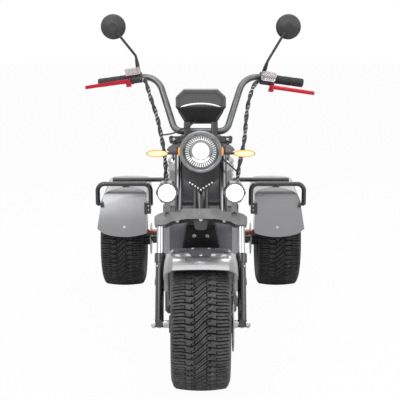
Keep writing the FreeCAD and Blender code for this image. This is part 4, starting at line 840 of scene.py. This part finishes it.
def plate_on(node, starts, direction, thickness, sunk=0.0005):
    """Thin plate that follows a node's skin: a grid of start places is cast along a direction, the
    outer skin stands off by the thickness and the inner one lies a little way in."""
    rows, columns = starts.shape[:2]
    skin = np.array([surface(node, start, direction)[0] for start in starts.reshape(-1, 3)])
    base = grid_faces(rows, columns)
    rim = np.concatenate((np.arange(columns), np.arange(1, rows) * columns + columns - 1,
                          (rows - 1) * columns + np.arange(columns - 2, -1, -1),
                          np.arange(rows - 2, 0, -1) * columns))
    beyond = np.roll(rim, -1)
    count = rows * columns
    walls = np.stack((rim, beyond, beyond + count, rim + count), axis=1)
    points = np.concatenate((skin - direction * thickness, skin + direction * sunk))
    return points, base.tolist() + (base + count).tolist() + walls.tolist()


def strand_outline(along, looks, count=28):
    """Outline of two wrapped strands twisted about each other, at each place along the loom.

    Both strands have radius s and their middles lie a from the loom's line, so the outline is
    r = a |cos(f)| + sqrt(s^2 - a^2 sin(f)^2), where f is the angle from the pair, which turns once
    in each lay. The light marks of the braid follow a second, finer helix on one of the strands.
    """
    s = looks.strand
    a = 0.62 * s
    turn = full_turn(count)[None]
    f = turn - (2 * math.pi * along / looks.lay)[:, None]
    radius = a * np.abs(np.cos(f)) + np.sqrt(s * s - (a * np.sin(f)) ** 2)
    marks = smoothstep(np.cos(turn * 2 - (2 * math.pi * along / looks.braid)[:, None]), 0.55, 0.8)
    marks = marks * smoothstep(np.cos(f), -0.1, 0.3)
    return np.stack((radius * np.cos(turn), radius * np.sin(turn)), axis=-1), marks


def make_looms(looks):
    """Twisted cable pairs from the controls to the lower yoke, and the thin leads that join them."""
    forms, shares = [], []
    for corners in LOOMS:
        path, along = rounded_path(corners)
        outline, marks = strand_outline(along, looks)
        forms.append(swept(path, outline))
        shares.append(marks.ravel())
    for corners in LEADS:
        forms.append(swept(rounded_path(corners)[0], ring_outline(looks.lead)))
        shares.append(np.zeros(len(forms[-1][0])))
    piece = add_piece("cable_strands", joined(forms), "cable_black", "steering", 60.0, ("cable_looms",))
    set_attribute(piece, "strand", np.concatenate(shares))
    return piece


def grip_rows(length):
    """Rows of a grip's sleeve: an inner flange, three runs of fine ribs and a domed end."""
    along = np.linspace(0.006, length - 0.004, 150)
    ribs = 0.5 + 0.5 * np.sin(2 * math.pi * along / 0.0042)
    runs = np.abs(np.sin(3 * math.pi * along / length)) > 0.3
    sleeve = np.stack((0.0006 + 0.0011 * ribs * runs, along, 0 * along), axis=1)
    flange = [(0.0008, 0.0006, 0), (0.0045, 0.0008, 0), (0.0052, 0.0024, 0), (0.0045, 0.004, 0),
              (0.0012, 0.0046, 0)]
    dome = [(0.0012, length - 0.003, 0), (0.0012, length + 0.0006, 0), (-0.0005, length + 0.0022, 0),
            (-0.01, length + 0.0028, 0)]
    return np.concatenate((flange, sleeve, dome)) + (GRIP_RADIUS, 0, 0)


def make_grips():
    """Ribbed sleeves over the two grips, along the axes that the record gives them."""
    forms = []
    for mount in frame["record"]["mounts"]:
        length = mount["dims"]["length_mm"] / 1000
        axis = np.array(mount["axis"])
        start = np.array(mount["pos_m"]) - axis * length / 2
        forms.append(turned(start, axis, grip_rows(length), 48))
    return add_piece("grip_sleeves", joined(forms), "grip_rubber", "steering", 60.0)


def make_buttons():
    """Plain push buttons and a rocker on the rider's side of each switch box."""
    half_width, half_height = 0.004, 0.0035
    places = ((0.262, 1.112), (0.278, 1.108), (0.27, 1.093))
    half_lengths = (0.005, 0.005, 0.009)
    forms = []
    for side in SIDES:
        for (x, z), half_length in zip(places, half_lengths):
            place, normal = surface("control_perches", (side * x, FAR, z), -Y_AXIS)
            half = (half_length, half_width, half_height)
            forms.append(rounded_form(place, half, (*square_to(normal), normal), 3.5))
    return add_piece("switch_buttons", joined(forms), "cable_black", "steering", 60.0)


def make_dial_trim():
    """Bright strip across the back of the instrument's housing. Its line is a parabola that rises
    to the middle, and its thickness fades towards both ends."""
    half_length, low, rise, thick = 0.079, 1.0045, 0.0115, 0.0058
    share = np.linspace(-1.0, 1.0, 60)
    back = surface("instrument_housing", (0.0, -FAR, low + rise), Y_AXIS)[0][1] - 0.0005
    path = np.stack((half_length * share, np.full_like(share, back), low + rise * (1 - share ** 2)), axis=1)
    size = thick * np.sqrt(np.clip(1 - np.abs(share) ** 3, 0.03, 1.0))
    outline = ring_outline(1.0, 20) * size[:, None, None] * (0.55, 1.0)
    return add_piece("dial_strip", swept(path, outline), "silver_rim", "steering", 60.0, finish="bright_trim")


def make_side_reflectors():
    """Small amber reflectors on both sides of the headlight's rim. They take the turn signals' lit amber finish,
    so their glow is painted light.
    """
    behind, beside, half = 0.018, 0.0795, (0.004, 0.012, 0.015)
    middle = node_box("headlight_rim")[2] + Y_AXIS * behind
    forms = [rounded_form(middle + X_AXIS * side * beside, half) for side in SIDES]
    # The amber_lens finish emits light: painted light on reflectors that hold no lamp.
    return add_piece("side_reflectors", joined(forms), "amber_lens", "steering", 60.0)


def make_studs():
    """Bright caps on the row of studs along the pointed edge of the shroud."""
    above_axle, before_axle, half_row, rise = 0.505, 0.0155, 0.042, 0.028
    profile = [(0.0042, 0.0, 0), (0.0042, 0.001, 0), (0.003, 0.0026, 0), (0.001, 0.0032, 0)]
    foot = node_box("front_axle")[2] + FORK_UP * above_axle + FORK_FORWARD * before_axle
    forms = []
    for side in SIDES:
        for share in np.linspace(0.0, 1.0, STUDS)[0 if side > 0 else 1:]:
            place = foot + (X_AXIS * side * half_row + FORK_UP * rise) * share
            forms.append(turned(place, FORK_FORWARD, profile))
    return add_piece("shroud_studs", joined(forms), "bright_nut", "steering", 60.0, finish="bright_trim")


def make_guard_bracket():
    """Dark bracket over the crown of the front mudguard, narrower towards its front."""
    half_width, front, back, above, thickness = 0.048, -0.768, -0.674, 1.0, 0.003
    across, along = np.meshgrid(np.linspace(-half_width, half_width, 25), np.linspace(front, back, 21),
                                indexing="ij")
    across = across * (1 - 0.3 * smoothstep(-along, 0.70, 0.765))
    starts = np.stack((across, along, np.full_like(across, above)), axis=-1)
    form = plate_on("front_guard", starts, -Z_AXIS, thickness)
    return add_piece("guard_bracket", form, "dark_plastic", "steering")


def head_on(node, start, direction, rows, axis=None):
    """Bolt head seated where a line meets a node, square to its skin or along a given axis."""
    place, normal = surface(node, start, direction)
    return turned(place, normal if axis is None else axis, rows)


def paired_heads(node, start, direction, rows, axis=None):
    """Bolt heads on both sides of a node, at a place and at its mirror image."""
    x, y, z = start
    return [head_on(node, (side * x, y, z), direction, rows, axis) for side in SIDES]


def steering_heads():
    """Bolt heads of the fork, its yokes, the mudguard and the brake."""
    clamp_bolt = (0.103, -FAR, 0.888)
    yoke_nut = (0.088, -FAR, 0.595)
    slider_bolt = (0.161, -FAR, 0.4389)
    shroud_bolt = (0.0, -FAR, 0.6)
    crown_bolt = (0.0296, -0.686, FAR)
    bracket_bolt = (0.0, -0.7594, FAR)
    caliper_bolts = ((FAR, -0.65, 0.3), (FAR, -0.622, 0.32))
    middle = button_head(*MIDDLE_HEAD)
    heads = paired_heads("upper_yoke", clamp_bolt, Y_AXIS, middle, FORK_FORWARD)
    heads += paired_heads("lower_yoke", yoke_nut, Y_AXIS, hexagon_head(*YOKE_NUT), -FORK_UP)
    heads += paired_heads("fork_sliders", slider_bolt, Y_AXIS, button_head(*SMALL_HEAD))
    heads += paired_heads("front_guard", crown_bolt, -Z_AXIS, middle)
    heads += [head_on("front_caliper", bolt, -X_AXIS, middle) for bolt in caliper_bolts]
    heads.append(head_on("front_guard", bracket_bolt, -Z_AXIS, middle))
    heads.append(head_on("front_shroud", shroud_bolt, Y_AXIS, button_head(*LARGE_HEAD)))
    return heads


def chassis_heads():
    """Bolt heads of the gusset plate, the rear mudguards and their hoops."""
    gusset_bolt = (0.0258, -FAR, 0.5059)
    fender_nut = (0.3711, -FAR, 0.3587)
    hoop_bolts = ((0.2532, -FAR, 0.443), (0.2532, -FAR, 0.463))
    heads = paired_heads("head_tube", gusset_bolt, Y_AXIS, button_head(*LARGE_HEAD))
    heads += paired_heads("rear_fenders", fender_nut, Y_AXIS, hexagon_head(*FENDER_NUT))
    for bolt in hoop_bolts:
        heads += paired_heads("fender_hoops", bolt, Y_AXIS, button_head(*HOOP_HEAD))
    return heads


def disc_heads(node, side, bolts=6, radius=0.0245, start=0.26):
    """Ring of bolt heads about the middle of a brake disc, on its face towards the given side."""
    low, high, centre = node_box(node)
    turn = full_turn(bolts) + start
    places = np.stack((np.full(bolts, high[0] if side > 0 else low[0]),
                       centre[1] + radius * np.cos(turn), centre[2] + radius * np.sin(turn)), axis=1)
    return [turned(place, X_AXIS * side, button_head(*DISC_HEAD)) for place in places]


def seat_shell():
    """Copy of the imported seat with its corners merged."""
    mesh = bmesh.new()
    mesh.from_mesh(frame["nodes"]["seat"].data)
    bmesh.ops.remove_doubles(mesh, verts=mesh.verts[:], dist=0.00002)
    data = bpy.data.meshes.new("seat_cushion")
    mesh.to_mesh(data)
    mesh.free()
    return linked("seat_cushion", data)


def apply_modifiers(piece):
    """Puts the evaluated mesh in place of the piece's mesh and clears its modifiers."""
    evaluated = piece.evaluated_get(bpy.context.evaluated_depsgraph_get())
    mesh = bpy.data.meshes.new_from_object(evaluated)
    piece.modifiers.clear()
    piece.data = mesh


def mesh_vectors(mesh, name):
    """The places or normals of a mesh's points, as rows of an array."""
    values = np.zeros(len(mesh.vertices) * 3)
    mesh.vertices.foreach_get(name, values)
    return values.reshape(-1, 3)


def inflate(piece, cap, foot_height=0.012, pressure=4.0, frames=20):
    """Swells the cushion as cloth under pressure. Its foot is pinned, and no point moves further
    than the cap."""
    scene = bpy.context.scene
    rest = mesh_vectors(piece.data, "co")
    pinned = piece.vertex_groups.new(name="foot")
    in_foot = np.nonzero(rest[:, 2] < rest[:, 2].min() + foot_height)[0]
    pinned.add(in_foot.tolist(), 1.0, "REPLACE")
    cloth = piece.modifiers.new("swell", "CLOTH").settings
    cloth.vertex_group_mass = "foot"
    cloth.use_pressure = True
    cloth.uniform_pressure_force = pressure
    cloth.effector_weights.gravity = 0.0
    for number in range(1, frames + 1):
        scene.frame_set(number)
    apply_modifiers(piece)
    scene.frame_set(1)
    moved = mesh_vectors(piece.data, "co") - rest
    reach = np.linalg.norm(moved, axis=1, keepdims=True)
    moved *= np.minimum(1.0, cap / np.maximum(reach, 1e-9))
    piece.data.vertices.foreach_set("co", (rest + moved).ravel())


def sew_seat(piece, looks):
    """Draws the cover in along its seams: one around the side below the top panel, and one across
    the seat where the pillion's pad begins. Each pulls in by h exp(-(d / w)^2)."""
    seam_height, side_width, cross_width, cross_bow = 0.021, 0.0022, 0.0035, 0.05
    points = mesh_vectors(piece.data, "co")
    normals = mesh_vectors(piece.data, "normal")
    low, high = points.min(axis=0), points.max(axis=0)
    up = points[:, 2] - low[2]
    around = np.exp(-((up - seam_height) / side_width) ** 2) * (np.abs(normals[:, 2]) < 0.8)
    place = low[1] + looks.pillion * (high[1] - low[1]) + cross_bow * (points[:, 0] / high[0]) ** 2
    across = np.exp(-((points[:, 1] - place) / cross_width) ** 2) * (up > seam_height + 0.001)
    seam = np.maximum(around, across)
    points -= normals * (looks.seam * seam)[:, None]
    piece.data.vertices.foreach_set("co", points.ravel())
    piece.data.update()
    set_attribute(piece, "seam", seam)


def make_seat(looks):
    """Padded saddle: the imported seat's form, swollen as cloth over foam and then sewn."""
    piece = seat_shell()
    cover = piece.modifiers.new("cover", "REMESH")
    cover.mode = "VOXEL"
    cover.voxel_size = 0.005
    apply_modifiers(piece)
    inflate(piece, looks.swell)
    smooth = piece.modifiers.new("smooth", "SUBSURF")
    smooth.levels = smooth.render_levels = 1
    apply_modifiers(piece)
    piece.data.shade_smooth()
    sew_seat(piece, looks)
    piece.data.materials.clear()
    piece.data.materials.append(FINISHES["seat_leather"])
    return seated(piece, "chassis", ("seat",))


def area_light(name, place, target, size, power):
    """Rectangular light at a place, turned towards a target."""
    light = bpy.data.lights.new(name, "AREA")
    light.shape = "RECTANGLE"
    light.size, light.size_y = size
    light.energy = power
    lamp = linked(name, light)
    lamp.location = place
    lamp.rotation_euler = (Vector(target) - Vector(place)).to_track_quat("-Z", "Y").to_euler()


def white_world(strength):
    """World that is white to the camera, metal and glass, and soft on matte surfaces."""
    world = bpy.data.worlds.new("studio")
    bpy.context.scene.world = world
    shader = Shader(world)
    kinds = ("Camera", "Glossy", "Transmission")
    camera, glossy, clear = [shader.node("LightPath", output=f"Is {kind} Ray") for kind in kinds]
    seen = camera.larger(glossy.larger(clear))
    level = shader.node("MapRange", {}, {"Value": seen, "To Min": strength, "To Max": 1.0})
    background = shader.tree.nodes["Background"]
    shader.put(background.inputs["Strength"], level)
    shader.put(background.inputs["Color"], (1.0, 1.0, 1.0))


def floor_finish():
    """Pale floor that shows white to the camera and keeps a faint shadow."""
    material = bpy.data.materials.new("floor")
    shader = Shader(material)
    shader.tree.nodes.clear()
    seen = shader.node("LightPath", output="Is Camera Ray") * FLOOR_WHITE
    matte = shader.node("BsdfDiffuse", {}, {"Color": (0.9, 0.9, 0.9)})
    glow = shader.node("Emission", {}, {"Strength": 1.0})
    output = shader.tree.nodes.new("ShaderNodeOutputMaterial")
    shader.put(output.inputs["Surface"], shader.node("MixShader", {}, {0: seen, 1: matte, 2: glow}))
    return material


def make_camera(scene):
    """Camera before the front axle, at the photograph's height, pitch and lens."""
    lens = bpy.data.cameras.new("camera")
    lens.sensor_width = SENSOR
    lens.lens = FOCAL_PIXELS / PICTURE_PIXELS * SENSOR
    lens.shift_x = CAMERA_SHIFT
    camera = linked("camera", lens)
    camera.location = (0.0, node_box("front_axle")[2][1] - CAMERA_BACK, CAMERA_HEIGHT)
    camera.rotation_euler = (math.radians(90.0 - CAMERA_PITCH), 0.0, 0.0)
    scene.camera = camera


class CHOPPER_OT_finishes(bpy.types.Operator):
    """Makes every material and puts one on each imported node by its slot"""
    bl_idname = "chopper.finishes"
    bl_label = "Finishes"

    def execute(self, context):
        FINISHES.update(make_finishes(context.scene))
        slots = {part["node"]: part["material_slot"] for part in frame["record"]["subparts"]}
        for name, piece in frame["nodes"].items():
            for holder in piece.material_slots:
                holder.material = FINISHES[NODE_FINISHES.get(name, slots[name])]
        return {"FINISHED"}


class CHOPPER_OT_tyres(bpy.types.Operator):
    """Makes the three fat tyres with their moulded tread"""
    bl_idname = "chopper.tyres"
    bl_label = "Tyres"

    def execute(self, context):
        looks = context.scene.chopper_tyres
        make_tyre("front_tyre_tread", "front_tyre", "front_wheel", "tyre", looks)
        # The rear tyres take the darker copy of the rubber: painted shade.
        for side in ("right", "left"):
            make_tyre("rear_tyre_tread_" + side, "rear_tyre_" + side, "rear_wheel_" + side, "shaded_rear_rubber",
                      looks)
        return {"FINISHED"}


class CHOPPER_OT_looms(bpy.types.Operator):
    """Makes the twisted cable looms and their leads"""
    bl_idname = "chopper.looms"
    bl_label = "Cable looms"

    def execute(self, context):
        make_looms(context.scene.chopper_cables)
        return {"FINISHED"}


class CHOPPER_OT_controls(bpy.types.Operator):
    """Makes the ribbed grips and the switch buttons"""
    bl_idname = "chopper.controls"
    bl_label = "Grips and buttons"

    def execute(self, context):
        make_grips()
        make_buttons()
        return {"FINISHED"}


class CHOPPER_OT_trim(bpy.types.Operator):
    """Makes the instrument's strip, the side reflectors, the studs and the mudguard's bracket"""
    bl_idname = "chopper.trim"
    bl_label = "Trim"

    def execute(self, context):
        make_dial_trim()
        make_side_reflectors()
        make_studs()
        make_guard_bracket()
        return {"FINISHED"}


class CHOPPER_OT_fasteners(bpy.types.Operator):
    """Makes the bolt heads, as one piece on each body"""
    bl_idname = "chopper.fasteners"
    bl_label = "Bolt heads"

    def execute(self, context):
        for name, heads, body in (
                ("steering_bolts", steering_heads(), "steering"),
                ("chassis_bolts", chassis_heads(), "chassis"),
                ("front_disc_bolts", disc_heads("front_disc", 1), "front_wheel"),
                ("right_disc_bolts", disc_heads("rear_disc_right", 1), "rear_wheel_right"),
                ("left_disc_bolts", disc_heads("rear_disc_left", -1), "rear_wheel_left")):
            add_piece(name, joined(heads), "bright_nut", body)
        return {"FINISHED"}


class CHOPPER_OT_seat(bpy.types.Operator):
    """Makes the padded saddle with its sewn seams"""
    bl_idname = "chopper.seat"
    bl_label = "Seat"

    def execute(self, context):
        make_seat(context.scene.chopper_seat)
        return {"FINISHED"}


class CHOPPER_OT_stage(bpy.types.Operator):
    """Makes the floor, the lights and the camera of the picture"""
    bl_idname = "chopper.stage"
    bl_label = "Stage"

    def execute(self, context):
        scene = context.scene
        looks = scene.chopper_stage
        scene.view_settings.view_transform = "Standard"
        corners = FLOOR_REACH * np.array(((-1, -1, 0), (1, -1, 0), (1, 1, 0), (-1, 1, 0)))
        make_piece("floor", corners, np.array(((0, 1, 2, 3),)), floor_finish())
        white_world(looks.world)
        middle = (0.0, -0.1, 0.6)
        area_light("key", (-2.2, -3.6, 3.4), middle, (2.6, 2.0), looks.key)
        area_light("fill", (3.0, -2.6, 2.2), middle, (2.0, 2.0), looks.fill)
        area_light("top", (0.0, -0.6, 3.6), (0.0, -0.1, 0.5), (3.0, 3.0), looks.top)
        area_light("back", (0.6, 3.4, 3.2), middle, (3.0, 1.6), looks.fill)
        make_camera(scene)
        return {"FINISHED"}


LOOKS = {
    "chopper_tyres": TyreLooks,
    "chopper_paint": PaintLooks,
    "chopper_lamps": LampLooks,
    "chopper_cables": CableLooks,
    "chopper_seat": SeatLooks,
    "chopper_stage": StageLooks,
}
OPERATORS = (
    CHOPPER_OT_finishes,
    CHOPPER_OT_tyres,
    CHOPPER_OT_looms,
    CHOPPER_OT_controls,
    CHOPPER_OT_trim,
    CHOPPER_OT_fasteners,
    CHOPPER_OT_seat,
    CHOPPER_OT_stage,
)


class CHOPPER_PT_panel(bpy.types.Panel):
    """Sidebar panel with the looks and the operators of the chopper"""
    bl_idname = "CHOPPER_PT_panel"
    bl_label = "Chopper"
    bl_space_type = "VIEW_3D"
    bl_region_type = "UI"
    bl_category = "Chopper"

    def draw(self, context):
        for key, group in LOOKS.items():
            box = self.layout.box()
            for name in group.__annotations__:
                box.prop(getattr(context.scene, key), name)
        for operator in OPERATORS:
            self.layout.operator(operator.bl_idname)


CLASSES = tuple(LOOKS.values()) + OPERATORS + (CHOPPER_PT_panel,)


def register():
    for item in CLASSES:
        bpy.utils.register_class(item)
    for key, group in LOOKS.items():
        setattr(bpy.types.Scene, key, PointerProperty(type=group))


def unregister():
    for key in LOOKS:
        delattr(bpy.types.Scene, key)
    for item in reversed(CLASSES):
        bpy.utils.unregister_class(item)


def main():
    """Dresses the chopper."""
    register()
    for operator in OPERATORS:
        group, name = operator.bl_idname.split(".")
        getattr(getattr(bpy.ops, group), name)()
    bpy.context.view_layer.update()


if __name__ == "__main__":
    main()
